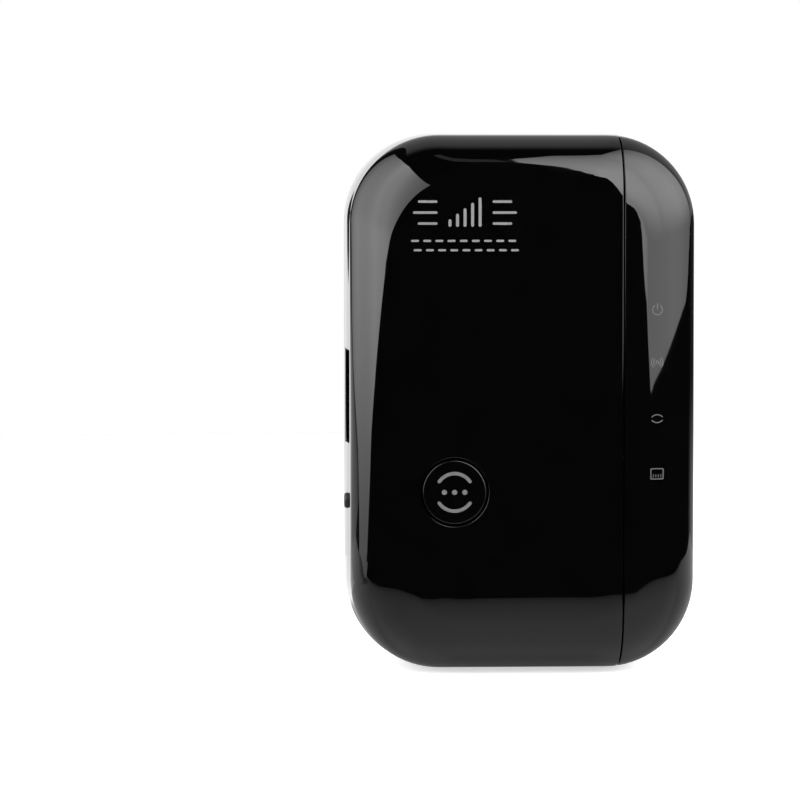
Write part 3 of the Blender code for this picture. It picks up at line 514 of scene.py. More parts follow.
class Skin:
    """A body's whole outer surface, which gives the place and the true normal at any point of it."""

    def __init__(self, profile):
        bm = bmesh.new()
        loops = [[bm.verts.new(p) for p in ring(inset, y)] for inset, y in profile]
        bridge(bm, loops)
        bm.faces.new(loops[-1])
        bmesh.ops.triangulate(bm, faces=bm.faces)
        bmesh.ops.recalc_face_normals(bm, faces=bm.faces)
        middle = Vector((0, (FRONT_Y + BACK_Y) / 2, BODY_MIDDLE_Z))
        face = max(bm.faces, key=lambda f: f.calc_area())
        if face.normal.dot(face.calc_center_median() - middle) < 0:
            bmesh.ops.reverse_faces(bm, faces=bm.faces)
        bm.normal_update()
        self.points = [v.co.copy() for v in bm.verts]
        self.normals = [v.normal.copy() for v in bm.verts]
        self.faces = [[v.index for v in f.verts] for f in bm.faces]
        bm.free()
        self.tree = BVHTree.FromPolygons(self.points, self.faces)

    def near(self, point):
        """(normal, distance) of the surface nearest to the point."""
        place, _, index, distance = self.tree.find_nearest(point)
        return self.normal(place, index), distance

    def normal(self, place, index):
        corners = self.faces[index]
        a, b, c = (self.points[i] for i in corners)
        na, nb, nc = (self.normals[i] for i in corners)
        return barycentric_transform(place, a, b, c, na, nb, nc).normalized()

    def in_front(self, x, z):
        """(place, normal) of the surface where a line along Y meets it from the front."""
        start = Vector((x, FRONT_Y - 0.02, z))
        place, _, index, _ = self.tree.ray_cast(start, Vector((0, 1, 0)))
        return place, self.normal(place, index)


FRONT_SKIN = Skin(front_skin_profile())


def divide(obj, x, side):
    """Keeps the part of a shell on one side of the plane at x, and rounds the cut's outer edge."""
    bm = bmesh.new()
    bm.from_mesh(obj.data)

    def bisect(place, facing, clear=False):
        sides = {"plane_co": (place, 0, 0), "plane_no": (facing, 0, 0), "clear_outer": clear}
        everything = bm.verts[:] + bm.edges[:] + bm.faces[:]
        return bmesh.ops.bisect_plane(bm, geom=everything, dist=1e-8, **sides)

    for angle in quarter(5)[:-1]:
        bisect(x - side * SEAM_ROUND * (1 - math.sin(angle)), 1)
    made = bisect(x, side, clear=True)
    edges = [item for item in made["geom_cut"] if isinstance(item, bmesh.types.BMEdge)]
    bmesh.ops.triangle_fill(bm, edges=edges, use_beauty=True)
    on_skin = 0.003 * MM
    for vert in bm.verts:
        reach = SEAM_ROUND - abs(vert.co.x - x)
        if reach < 1e-9:
            continue
        normal, distance = FRONT_SKIN.near(vert.co)
        if distance > on_skin:
            continue
        depth = SEAM_ROUND - math.sqrt(max(SEAM_ROUND**2 - reach**2, 0))
        inwards = Vector((0, -normal.y, -normal.z)).normalized()
        vert.co += inwards * depth
    bm.to_mesh(obj.data)
    bm.free()


def smooth_skin(obj, skin):
    """Smooth shading, with the true normals of the skin on the faces that lie in it."""
    within = 0.002 * MM
    shade_smooth(obj)
    mesh = obj.data
    normals = [Vector(corner.vector) for corner in mesh.corner_normals]
    known = {}
    for polygon in mesh.polygons:
        found = []
        for index in polygon.vertices:
            if index not in known:
                normal, distance = skin.near(mesh.vertices[index].co)
                known[index] = normal if distance < within else None
            found.append(known[index])
        if None in found or found[0].dot(polygon.normal) < 0.9:
            continue
        for loop, normal in zip(polygon.loop_indices, found):
            normals[loop] = normal
    mesh.normals_split_custom_set([tuple(normal) for normal in normals])


def button_hole():
    """A cutter whose lip is level with the face."""
    place = (BUTTON_PLACE.x, crowned(16 * MM), BUTTON_PLACE.z)
    hole, lip = BUTTON_HOLE_RADIUS / MM, BUTTON_HOLE_LIP / MM
    return bore_cutter("button_hole", hole, lip, 4, place, FACING_FRONT, 96, 6)


def rounded_prism(name, half_width, half_height, radius, sections, location, rotation, steps=6):
    """A prism with rounded corners. Its sections are (distance along Z, growth of the outline)."""
    sharpest = 0.05 * MM
    rings = []
    for z, grow in sections:
        arcs = corner_arcs(half_width + grow, half_height + grow, max(radius + grow, sharpest), steps)
        rings.append([(x, y, z) for corner in arcs for x, y in corner])
    prism = loft(name, rings)
    prism.location = location
    prism.rotation_euler = rotation
    return prism


def flared(depth, lip):
    """Sections of a cutter that opens out in a rounded lip at distance 0."""
    sections = [(-depth, 0)]
    for angle in quarter(4):
        sections.append((-lip * (1 - math.sin(angle)), lip * (1 - math.cos(angle))))
    sections.append((3 * MM, lip))
    return sections


def jack_window():
    place = (LEFT_WALL_X, -32.9 * MM, middle_of("network_socket").z)
    section = flared(6 * MM, 0.2 * MM)
    return rounded_prism("jack_window", 6.95 * MM, 4.0 * MM, 0.5 * MM, section, place, FACING_LEFT)


def reset_hole():
    _, y, z = middle_of("reset_switch_plunger")
    return bore_cutter("reset_hole", 1.25, 0.08, 5, (LEFT_WALL_X, y, z), FACING_LEFT, 40)


def wear_edges(obj, worn):
    """Gives the faces for which worn(centre, normal) holds the duller finish of a handled edge."""
    obj.data.materials.append(WORN_EDGE)
    for polygon in obj.data.polygons:
        if worn(polygon.center, polygon.normal):
            polygon.material_index = 1


def make_front_cover():
    cover = front_half()
    divide(cover, SEAM_X - SEAM_GAP / 2, 1)
    cut(cover, button_hole())
    cut(cover, jack_window())
    cut(cover, reset_hole())
    cover.name = "cover_shell"
    smooth_skin(cover, FRONT_SKIN)
    lip_end = BUTTON_HOLE_RADIUS + BUTTON_HOLE_LIP + 0.01 * MM

    def on_lip(centre, normal):
        reach = math.hypot(centre.x - BUTTON_PLACE.x, centre.z - BUTTON_PLACE.z)
        return reach < lip_end and 0.1 < -normal.y < 0.99

    wear_edges(cover, on_lip)
    stand_in(cover, "case", "front_cover", "gloss_black")


def make_indicator_panel():
    panel = front_half()
    divide(panel, SEAM_X + SEAM_GAP / 2, -1)
    panel.name = "panel_shell"
    smooth_skin(panel, FRONT_SKIN)
    stand_in(panel, "case", "indicator_panel", "smoked_black")


def back_skin_profile():
    rim_y = PARTING_Y + GAP / 2
    points = []
    for angle in quarter(4):
        inset = RIM_ROUND * (1 - math.sin(angle))
        points.append((inset, rim_y + RIM_ROUND * (1 - math.cos(angle))))
    for angle in quarter(14):
        inset = DRAFT + BACK_ROUND * (1 - math.cos(angle))
        points.append((inset, BACK_Y - BACK_ROUND * (1 - math.sin(angle))))
    points.append((BACK_FLAT_INSET, BACK_Y))
    return points


BACK_SKIN = Skin(back_skin_profile())


def case_screw_places():
    """The middle of each case screw's head, from the CAD model's boxes."""
    places = []
    for name in ("upper_left", "lower_left", "upper_right", "lower_right"):
        middle = middle_of(f"case_screw_{name}")
        places.append((name, middle.x, box_of(f"case_screw_{name}")[1].y, middle.z))
    return places


def make_back_shell():
    rim_y, tongue_y = PARTING_Y + GAP / 2, PARTING_Y - TONGUE_LENGTH
    rim = [(TONGUE_INSET, rim_y), (TONGUE_INSET, tongue_y), (WALL, tongue_y)]
    lining = []
    for angle in quarter(6):
        inset = WALL + DRAFT + (BACK_ROUND - WALL) * (1 - math.cos(angle))
        lining.append((inset, BACK_Y - WALL - (BACK_ROUND - WALL) * (1 - math.sin(angle))))
    lining.append((BACK_FLAT_INSET, BACK_Y - WALL))
    path = [*reversed(back_skin_profile()), *rim, *lining]
    shell = loft("back_case", [ring(inset, y) for inset, y in path])

    tube = [(0, -1), (3.6, -1), (3.6, -8.6), (0, -8.6)]
    through = [(0, 0), (1.5, 0), (1.5, -12), (0, -12)]
    for _, x, _, z in case_screw_places():
        join(shell, turned("tube", tube, (x, BACK_Y, z), FACING_WALL, sides=40))
        cut(shell, bore_cutter("bore", 2.5, 0.3, 4.5, (x, BACK_Y, z), FACING_WALL, 48))
        cut(shell, turned("through", through, (x, BACK_Y, z), FACING_WALL, sides=24))

    ends = (BACK_Y - 6 * MM, BACK_Y + 2 * MM)
    cut(shell, loft("opening", [plug_ring(y, GAP) for y in ends]))
    slots = [(half_width, 0.65 * MM, (x, BACK_Y, z), FACING_WALL) for x, z, half_width in vent_rows()]
    for x, z, turn in wall_vents():
        slots.append((0.65 * MM, 1.8 * MM, (x, -22.6 * MM, z), (math.radians(turn), 0, 0)))
    for half_width, half_height, place, turn in slots:
        section = flared(5 * MM, 0.15 * MM)
        cut(shell, rounded_prism("vent", half_width, half_height, 0.6 * MM, section, place, turn))
    low, high = box_of("rating_label")
    middle, half = (low + high) / 2, (high - low) / 2
    section, place = flared(0.4 * MM, 0.1 * MM), (middle.x, BACK_Y, middle.z)
    cut(shell, rounded_prism("recess", half.x + GAP, half.z + GAP, 1.0 * MM, section, place, FACING_WALL))

    smooth_skin(shell, BACK_SKIN)
    stand_in(shell, "case", "back_shell", "satin_black")


def vent_rows():
    """(x, z, half width) of the slots above the plug."""
    return [
        (0, BODY_MIDDLE_Z + (19.6 + 2.6 * row) * MM, (11 - 1.2 * row) * MM)
        for row in range(5)
    ]


def wall_vents():
    """(x, z, turn about X in degrees) of the slots in the top and the bottom wall."""
    places = []
    for column in range(7):
        x = 5.0 * (column - 3) * MM
        places.append((x, BODY_MIDDLE_Z + HALF_HEIGHT - 0.35 * MM, 0))
        places.append((x, BODY_MIDDLE_Z - HALF_HEIGHT + 0.35 * MM, 180))
    return places


# ---- plug

PIN_X = 9.5 * MM


def plug_ring(y, grow):
    """The plug's outline at y: flat above and below, with sloping shoulders and rounded corners."""
    half_width, half_height = 17.65 * MM + grow, 6.85 * MM + grow
    nose, shoulder = 3.0 * MM, 4.2 * MM
    corners = [(half_width, nose), (half_width - shoulder, half_height)]
    corners += [(-x, z) for x, z in reversed(corners)]
    corners += [(-x, -z) for x, z in corners]
    points = []
    steps = 6
    for i, corner in enumerate(corners):
        before, corner = Vector(corners[i - 1]), Vector(corner)
        after = Vector(corners[(i + 1) % len(corners)])
        start = corner + (before - corner).normalized() * 2.0 * MM
        end = corner + (after - corner).normalized() * 2.0 * MM
        for j in range(steps + 1):
            t = j / steps
            point = start * (1 - t) ** 2 + corner * 2 * t * (1 - t) + end * t**2
            points.append((point.x, y, point.y))
    return points


def make_plug():
    """The plug's moulded body, its sleeves and its pins."""
    flange_front = box_of("plug_insert")[0].y
    flange_back = BACK_Y - WALL - GAP
    flange, taper, rounding = 1.6 * MM, -0.5 * MM, 1.1 * MM
    rings = [plug_ring(flange_front, flange), plug_ring(flange_back, flange)]
    rings += [plug_ring(flange_back, 0), plug_ring(BACK_Y, -0.02 * MM)]
    rings += [plug_ring(BACK_Y * share, taper * (1 - share)) for share in (0.75, 0.5, 0.25)]
    for angle in quarter(6):
        y = -rounding * (1 - math.sin(angle))
        rings.append(plug_ring(y, taper - rounding * (1 - math.cos(angle))))
    body = loft("plug_body", rings)
    bore = [(0, 2), (2.3, 2), (2.3, 0), (2.25, -0.15), (2.25, -3.3), (1.5, -3.3), (1.5, -25), (0, -25)]
    for x in (-PIN_X, PIN_X):
        cut(body, turned("bore", bore, (x, 0, 0), FACING_WALL, sides=40))
    shade_smooth(body)
    stand_in(body, "case", "plug_insert", "satin_black")

    for name, x in (("left", -PIN_X), ("right", PIN_X)):
        tip = [(2 * math.sin(a), 19 - 2 * (1 - math.cos(a))) for a in quarter(10)]
        shoulder = [(2, 10.55), (1.85, 10.35), (1.2, 10.35)]
        tail = [(1.2, -20.2), (2.6, -20.2), (2.6, -21), (0.8, -21), (0.8, -24), (0, -24)]
        pin = turned(f"pin_{name}", tip + shoulder + tail, (x, 0, 0), FACING_WALL)
        shade_smooth(pin)
        stand_in(pin, "case", f"plug_pin_{name}", "nickel")

        edge = arc((1.75, 9.8), 0.2, 90, 0, 4)
        tube = [(1.5, 10.0), *edge, (1.95, -3), (1.5, -3)]
        sleeve = turned(f"sleeve_{name}", tube, (x, 0, 0), FACING_WALL, closed=True)
        shade_smooth(sleeve)
        stand_in(sleeve, "case", f"pin_sleeve_{name}", "satin_black")


# ---- button, screws and label


def button_rise(share):
    """How far the cap's face stands out at this share of its radius, in millimetres."""
    return 0.08 - 0.02 * share**2


def make_button():
    """The button's cap, slightly domed, with a rounded rim and the flange behind the cover."""
    rim, round_off = BUTTON_RADIUS / MM, 0.16
    face = [(radius, button_rise(radius / rim)) for radius in (0, 0.8, 1.6, 2.4, 3.2, 3.8)]
    edge = arc((rim - round_off, 0.06 - round_off), round_off, 90, 0, 7)
    stem = [(rim, -2.4), (5.9, -2.4), (5.9, -3.2), (1.5, -3.2), (1.5, -3.65), (0, -3.65)]
    place = (BUTTON_PLACE.x, BUTTON_FACE_Y, BUTTON_PLACE.z)
    cap = turned("button_cap", face + edge + stem, place, FACING_FRONT, sides=96)
    shade_smooth(cap)
    wear_edges(cap, lambda centre, normal: centre.z > -round_off * MM and 0.05 < normal.z < 0.98)
    stand_in(cap, "button", "pairing_button", "gloss_black")


def make_reset_nub():
    """The reset switch's plunger, whose rounded end stands proud of the left side."""
    low, high = box_of("reset_switch_plunger")
    shorter, radius, rounding = 0.2, 1.15, 0.4
    length = (high.x - low.x) / MM - shorter
    end = arc((radius - rounding, length - rounding), rounding, 90, 0, 6)
    profile = [(0, length), *end, (radius, 2.0), (1.5, 2.0), (1.5, 0), (0, 0)]
    place = (high.x, (low.y + high.y) / 2, (low.z + high.z) / 2)
    nub = turned("reset_nub", profile, place, FACING_LEFT, sides=48)
    shade_smooth(nub)
    stand_in(nub, "reset_plunger", "reset_switch_plunger", "satin_black")


def make_screws():
    """Pan-head case screws with a tapered cross recess."""
    head, rise, shank, length = 2.2, 1.55, 1.2, 11.0
    dome = [(head * math.sin(a), rise - 0.9 * (1 - math.cos(a))) for a in quarter(8)]
    thread = []
    for i in range(12):
        z = -0.6 - 0.75 * i
        thread += [(shank - 0.25, z), (shank, z - 0.3), (shank - 0.25, z - 0.6)]
    profile = [*dome, (head, 0.0), (shank - 0.25, 0), *thread, (0.2, -length), (0, -length)]
    for i, (name, x, y, z) in enumerate(case_screw_places()):
        screw = turned(f"screw_{name}", profile, (x, y - rise * MM, z), FACING_WALL, sides=40)
        for turn in (20 + 35 * i, 110 + 35 * i):
            taper, place = [(-1.1 * MM, -0.15 * MM), (1 * MM, 0.1 * MM)], (x, y - 0.1 * MM, z)
            spin = Euler(FACING_WALL).to_matrix() @ Euler((0, 0, math.radians(turn))).to_matrix()
            spin = spin.to_euler()
            cut(screw, rounded_prism("arm", 1.35 * MM, 0.3 * MM, 0.1 * MM, taper, place, spin, 2))
        shade_smooth(screw)
        stand_in(screw, "case", f"case_screw_{name}", "zinc_steel")


def make_label():
    """The blank foil label: rounded corners, a frame line and plain rules."""
    low, high = box_of("rating_label")
    middle, half = (low + high) / 2, (high - low) / 2
    sections, foil_place = [(0, 0), (0.2 * MM, 0)], (middle.x, low.y, middle.z)
    label = rounded_prism("label_foil", half.x, half.z, 1.2 * MM, sections, foil_place, FACING_WALL)
    stand_in(label, "case", "rating_label", "silver_label")

    half_width, half_height = half.x / MM, half.z / MM
    strokes = [rounded_box_path(half_width - 1.2, half_height - 1.2, 0.8)]
    for row, reach in enumerate((0.8, 0.55, 0.7, 0.4)):
        z = half_height * (0.5 - 0.33 * row)
        x = half_width * 0.8
        strokes.append([(x, z), (x - 2 * x * reach, z)])

    def place(x, z, out):
        return Vector((middle.x + x, high.y + out, middle.z + z))

    ink_lines("label_rules", strokes, 0.22, place, DARK_INK, "case")


# ---- printed marks


def ribbon(bm, path, width, place, closed=False):
    """A thin solid along a path of (x, z) points, with round ends.

    place puts a point on the marked surface, this far out of it."""
    raised, sunk = 0.02 * MM, -0.03 * MM
    half = width / 2
    count = len(path)
    sections = []
    for i, point in enumerate(path):
        before = Vector(path[i - 1]) if i or closed else Vector(point)
        after = Vector(path[(i + 1) % count]) if i < count - 1 or closed else Vector(point)
        along = (after - before).normalized()
        sections.append((Vector(point), along, half))
    if not closed:
        first, last = sections[0], sections[-1]
        head, tail = [], []
        for angle in (75, 45, 15):
            back = half * math.sin(math.radians(angle))
            wide = half * math.cos(math.radians(angle))
            head.append((first[0] - first[1] * back, first[1], wide))
            tail.insert(0, (last[0] + last[1] * back, last[1], wide))
        sections = [*head, *sections, *tail]
    loops = []
    for point, along, wide in sections:
        across = Vector((-along.y, along.x)) * wide
        left, right = point + across, point - across
        corners = ((left, raised), (right, raised), (right, sunk), (left, sunk))
        loops.append([bm.verts.new(place(corner.x, corner.y, out)) for corner, out in corners])
    bridge(bm, loops + loops[:1] if closed else loops)
    if not closed:
        bm.faces.new(loops[0])
        bm.faces.new(loops[-1])


def finer(path, longest=0.3 * MM):
    """The path with points added, so that it follows a curved surface."""
    points = [path[0]]
    for (x0, z0), (x1, z1) in zip(path, path[1:]):
        steps = max(math.ceil(math.hypot(x1 - x0, z1 - z0) / longest), 1)
        points += line(x0, z0, x1, z1, steps)[1:]
    return points


def ink_lines(name, strokes, width, place, finish, body):
    """Strokes in millimetres, as one piece. A stroke that ends where it starts is closed.

    A stroke is a path of (x, z) points, or such a path with a width of its own."""
    bm = bmesh.new()
    for stroke in strokes:
        path, wide = stroke if isinstance(stroke, tuple) else (stroke, width)
        path = finer([(x * MM, z * MM) for x, z in path])
        closed = len(path) > 3 and (Vector(path[0]) - Vector(path[-1])).length < 1e-7
        ribbon(bm, path[:-1] if closed else path, wide * MM, place, closed)
    piece = from_bmesh(name, bm, finish)
    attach(piece, body)
    return piece


def rounded_box_path(half_width, half_height, radius):
    points = sum(corner_arcs(half_width, half_height, radius, 5), [])
    return points + points[:1]


def line(x0, z0, x1, z1, steps=1):
    return [
        (x0 + (x1 - x0) * i / steps, z0 + (z1 - z0) * i / steps)
        for i in range(steps + 1)
    ]


def on_face(middle_x, middle_z):
    """Puts a mark's points on the front face, around that middle."""

    def place(x, z, out):
        point, normal = FRONT_SKIN.in_front(middle_x + x, middle_z + z)
        return point + normal * out

    return place


def make_face_print():
    """The silver print, upper left: rising bars between dashes, over two rows of plain dashes."""
    bars = []
    for i in range(5):
        x = -2.2 + 1.1 * i
        bars.append((line(x, -1.85, x, -1.2 + 0.8 * i), 0.44))
    for side in (-1, 1):
        for z, reach in ((1.6, 6.7), (0, 7.4), (-1.6, 6.7)):
            bars.append((line(side * 4.2, z, side * reach, z), 0.36))
    face = on_face(-9.15 * MM, BODY_MIDDLE_Z + 28.0 * MM)
    ink_lines("face_print_upper", bars, 0.5, face, SILVER_INK, "case")

    dashes = []
    for i in range(9):
        for z, shift in ((0.68, -0.2), (-0.68, 0.2)):
            x = -7.1 + 1.775 * i + shift
            dashes.append(line(x - 0.42, z, x + 0.42, z))
    face = on_face(-9.15 * MM, BODY_MIDDLE_Z + 23.2 * MM)
    ink_lines("face_print_lower", dashes, 0.32, face, SILVER_INK, "case")


def bow(radius, start, end, middle_z=0, steps=14):
    """An arc round a point on a mark's upright axis."""
    return arc((0, middle_z), radius, start, end, steps)


def make_indicator_marks():
    """Plain symbols over the lights: power, radio waves, two arcs and a socket."""
    socket = rounded_box_path(0.93, 0.75, 0.08)
    teeth = [(line(x, -0.5, x, -0.1), 0.1) for x in (-0.57, -0.19, 0.19, 0.57)]
    waves = [bow(radius, turn - 50, turn + 50) for radius in (0.55, 0.88) for turn in (0, 180)]
    curves = [bow(1.1, 45, 135, -0.52), bow(1.1, 225, 315, 0.52)]
    marks = {
        "power": ([bow(0.75, 125, 415), line(0, 0.1, 0, 0.95)], FAINT_INK),
        "wireless": ([bow(0.22, 0, 360, steps=12), *waves], FAINT_INK),
        "pairing": (curves, GREY_INK),
        "network": ([socket, *teeth], GREY_INK),
    }
    for name in INDICATOR_NAMES:
        strokes, ink = marks[name]
        middle = middle_of(f"led_{name}")
        place = on_face(middle.x, middle.z)
        ink_lines(f"mark_{name}", strokes, 0.14, place, ink, "case")


def make_button_mark():
    """Two plain arcs round three dots."""

    def place(x, z, out):
        y = BUTTON_FACE_Y - button_rise(math.hypot(x, z) / BUTTON_RADIUS) * MM - out
        return Vector((BUTTON_PLACE.x + x, y, BUTTON_PLACE.z + z))

    curves = [bow(2.75, start, start + 110) for start in (35, 215)]
    dots = [(line(x - 0.02, 0, x + 0.02, 0), 0.75) for x in (-1.5, 0, 1.5)]
    ink_lines("button_mark", curves + dots, 0.5, place, BUTTON_INK, "button")


# ---- stage, lights and camera

VIEW_AZIMUTH = -4.5
VIEW_ELEVATION = 2.5
VIEW_DISTANCE = 0.60
VIEW_LENS = 181.0  # millimetres
SUBJECT = Vector((0, -36 * MM, BODY_MIDDLE_Z))
SUBJECT_ASIDE = 18.05 * MM  # how far right of the frame's middle the body stands
SUBJECT_DROP = 0.1 * MM


def direction(azimuth, elevation):
    """A unit vector: azimuth 0 is the front (-Y) and 90 the right (+X), in degrees."""
    azimuth, elevation = math.radians(azimuth), math.radians(elevation)
    level = math.cos(elevation)
    return Vector((math.sin(azimuth) * level, -math.cos(azimuth) * level, math.sin(elevation)))


def make_camera():
    camera = bpy.data.objects.new("camera", bpy.data.cameras.new("camera"))
    camera.data.lens = VIEW_LENS
    camera.data.clip_start = 0.01
    bpy.context.scene.collection.objects.link(camera)
    camera.location = SUBJECT + direction(VIEW_AZIMUTH, VIEW_ELEVATION) * VIEW_DISTANCE
    right = direction(VIEW_AZIMUTH + 90, 0)
    aim = SUBJECT - right * SUBJECT_ASIDE + Vector((0, 0, SUBJECT_DROP))
    camera.rotation_euler = (aim - camera.location).to_track_quat("-Z", "Y").to_euler()
    bpy.context.scene.camera = camera


def between(value, *stops):
    """The value looked up on straight lines between (value, result) stops."""
    if value <= stops[0][0]:
        return stops[0][1]
    for (v0, r0), (v1, r1) in zip(stops, stops[1:]):
        if value <= v1:
            return r0 + (r1 - r0) * (value - v0) / (v1 - v0)
    return stops[-1][1]


def great_arc(points, count):
    """Unit vectors along arcs between (azimuth, elevation) points, evenly by their index."""
    vectors = [direction(*point) for point in points]
    found = []
    for i in range(count):
        place = i / (count - 1) * (len(vectors) - 1)
        first = min(int(place), len(vectors) - 2)
        found.append(vectors[first].slerp(vectors[first + 1], place - first))
    return found


def make_card(name, lower, upper, glow, distance=0.6):
    """A curved light card between two edges, each given as (azimuth, elevation) points.

    glow gives its radiance at an azimuth and elevation. The camera doesn't see it."""
    columns, rows = 49, 25
    bottom, top = great_arc(lower, columns), great_arc(upper, columns)
    bm = bmesh.new()
    layer = bm.verts.layers.float.new("glow")
    grid = []
    for low, high in zip(bottom, top):
        column = []
        for i in range(rows):
            share = i / (rows - 1)
            toward = low.lerp(high, share).normalized()
            vert = bm.verts.new(SUBJECT + toward * distance)
            azimuth, elevation = math.atan2(toward.x, -toward.y), math.asin(toward.z)
            vert[layer] = glow(math.degrees(azimuth), math.degrees(elevation))
            column.append(vert)
        grid.append(column)
    return stage_card(name, bm, grid)


def stage_card(name, bm, grid):
    """A grid of vertices as a surface that only lights the object, as its glow attribute says."""
    for first, second in zip(grid, grid[1:]):
        for i in range(len(first) - 1):
            bm.faces.new((first[i], second[i], second[i + 1], first[i + 1]))
    bmesh.ops.remove_doubles(bm, verts=bm.verts, dist=1e-6)
    material = bpy.data.materials.new(f"{name}_glow")
    material.use_nodes = True
    tree = material.node_tree
    tree.nodes.clear()
    attribute = tree.nodes.new("ShaderNodeAttribute")
    attribute.attribute_name = "glow"
    emission = tree.nodes.new("ShaderNodeEmission")
    fill(emission, {"Strength": attribute.outputs["Fac"]})
    fill(tree.nodes.new("ShaderNodeOutputMaterial"), {"Surface": emission.outputs["Emission"]})
    card = from_bmesh(name, bm, material, normals=False)
    card.visible_camera = False
    card.visible_shadow = False
    return card


def even(glow):
    """The same glow all over a card."""
    return lambda azimuth, elevation: glow


def left_glow(azimuth, elevation):
    around = between(
        azimuth,
        (-160, 0.3), (-150, 0.5), (-140, 1.0), (-130, 1.6), (-118, 2.2),
        (-102, 3.1), (-85, 4.4), (-60, 4.3), (-35, 2.8), (-14, 1.9),
    )
    return around * between(
        elevation, (-9, 0.3), (-5, 0.45), (-3, 0.65), (0, 0.95), (3, 1.05), (12, 0.95)
    )


def right_glow(azimuth, elevation):
    around = between(
        azimuth,
        (9, 0.95), (13, 1.15), (48, 1.05), (56, 0.9), (63, 0.98),
        (80, 0.92), (100, 0.75), (115, 0.5), (130, 0.3), (140, 0.2),
    )
    low = between(
        azimuth,
        (12, 1.5), (18, 0.9), (50, 0.95), (80, 0.88),
        (100, 0.62), (117, 0.34), (130, 0.2), (142, 0.02),
    )
    around = low + (around - low) * between(elevation, (4, 0), (14, 1))
    return around * between(
        elevation,
        (-2, 2.8), (5, 2.9), (9, 3.3), (13, 3.7), (20, 4.6),
        (30, 5.1), (50, 4.9), (65, 3.9), (78, 2.9), (86, 1.8),
    )


def frame_glow(azimuth, elevation):
    """A dim grey band round the left card, with a darker line next to the card."""
    edge = between(elevation, (-7, -124), (-4, -126), (-2.6, -137), (0, -152), (4, -157))
    line_beside = between(edge - azimuth, (0, 0.45), (3, 0.55), (7, 1.0))
    toward_wall = between(azimuth, (-162, 1.6), (-152, 1.15), (-146, 1.0))
    return line_beside * toward_wall * between(elevation, (-3, 0.41), (-1.5, 0.33), (0.5, 0.1), (2, 0.02))


def bounce_front(x):
    """The front edge of the lit part of the floor, in millimetres."""
    return between(
        x,
        (-200, -3), (-152, -6), (-143, -15), (-65, -60), (-30, -92), (-10, -132),
        (25, -136), (42, -112), (75, -90), (170, -42), (200, 10),
    )


def dark_line(x):
    """Where a dark line crosses the left end of the lit floor, in millimetres."""
    return between(
        x,
        (-218, 98), (-203, 86), (-190, 63), (-176, 44),
        (-160, 30), (-148, 14), (-125, -4), (-105, -14),
    )


def bounce_glow(x, y):
    """Brightest just in front of the object, fading to the front edge and to its own shadow."""
    fading = between(y - bounce_front(x), (0, 0.2), (12, 0.42), (34, 0.56), (60, 0.68), (90, 0.74))
    aside = between(abs(x), (12, 0), (21, 4))
    near = between(
        y - aside, (-50, 0.74), (-46, 0.67), (-44, 0.52), (-43, 0.36), (-41, 0.24), (-39, 0.13)
    )
    shadow = between(abs(x), (8, 0.12), (22, 0.36), (32, 0.53))
    behind = between(y, (25, 0), (50, 1)) * between(
        x,
        (-130, 0), (-105, 0.5), (-95, 0.78), (-77, 0.84),
        (-46, 1.25), (-35, 1.35), (-10, 1.35), (15, 0),
    )
    usual = max(min(fading, max(near, shadow)), behind)
    if x > -100:
        return usual
    lit = between(x, (-150, 0.9), (-130, 0.36))
    beside = (y - dark_line(x)) / between(x, (-150, 1), (-105, 0.6))
    return between(
        beside, (-24, lit), (-12, 0.62 * lit), (0, 0.13), (12, 0.36), (24, 0.47), (34, usual)
    )


def make_floor_bounce(z):
    """The lit part of the floor, which only shows in the object's gloss."""
    bm = bmesh.new()
    layer = bm.verts.layers.float.new("glow")
    rows = [*range(-140, -67, 12), -58, -50, -46, *range(-44, -38), -37, -35, -30]
    rows += [*range(-26, 110, 4), 125, 140, 170]
    grid = []
    for x in range(-200, 201, 5):
        column = []
        for row in rows:
            y = max(row, bounce_front(x))
            vert = bm.verts.new((x * MM, y * MM, z))
            vert[layer] = bounce_glow(x, y)
            column.append(vert)
        grid.append(column)
    stage_card("floor_bounce", bm, grid).visible_diffuse = False


def make_floor():
    """A pale floor that the camera sees, and the lit part that the object's gloss mirrors."""
    level = CAD_BOX[0][2] - 0.1 * MM
    bm = bmesh.new()
    bmesh.ops.create_circle(bm, cap_ends=True, segments=128, radius=0.6)
    finish = Finish("floor_paper", Roughness=0.9, Emission_Strength=0.6)
    finish.shader.inputs["Emission Color"].default_value = (1, 1, 1, 1)
    finish.colour(finish.noise(0.05), (0.86, 0.86, 0.86), (0.88, 0.88, 0.88))
    floor = from_bmesh("floor", bm, finish.material, normals=False)
    floor.location = (0, 0.05, level)
    floor.visible_glossy = False
    make_floor_bounce(level)


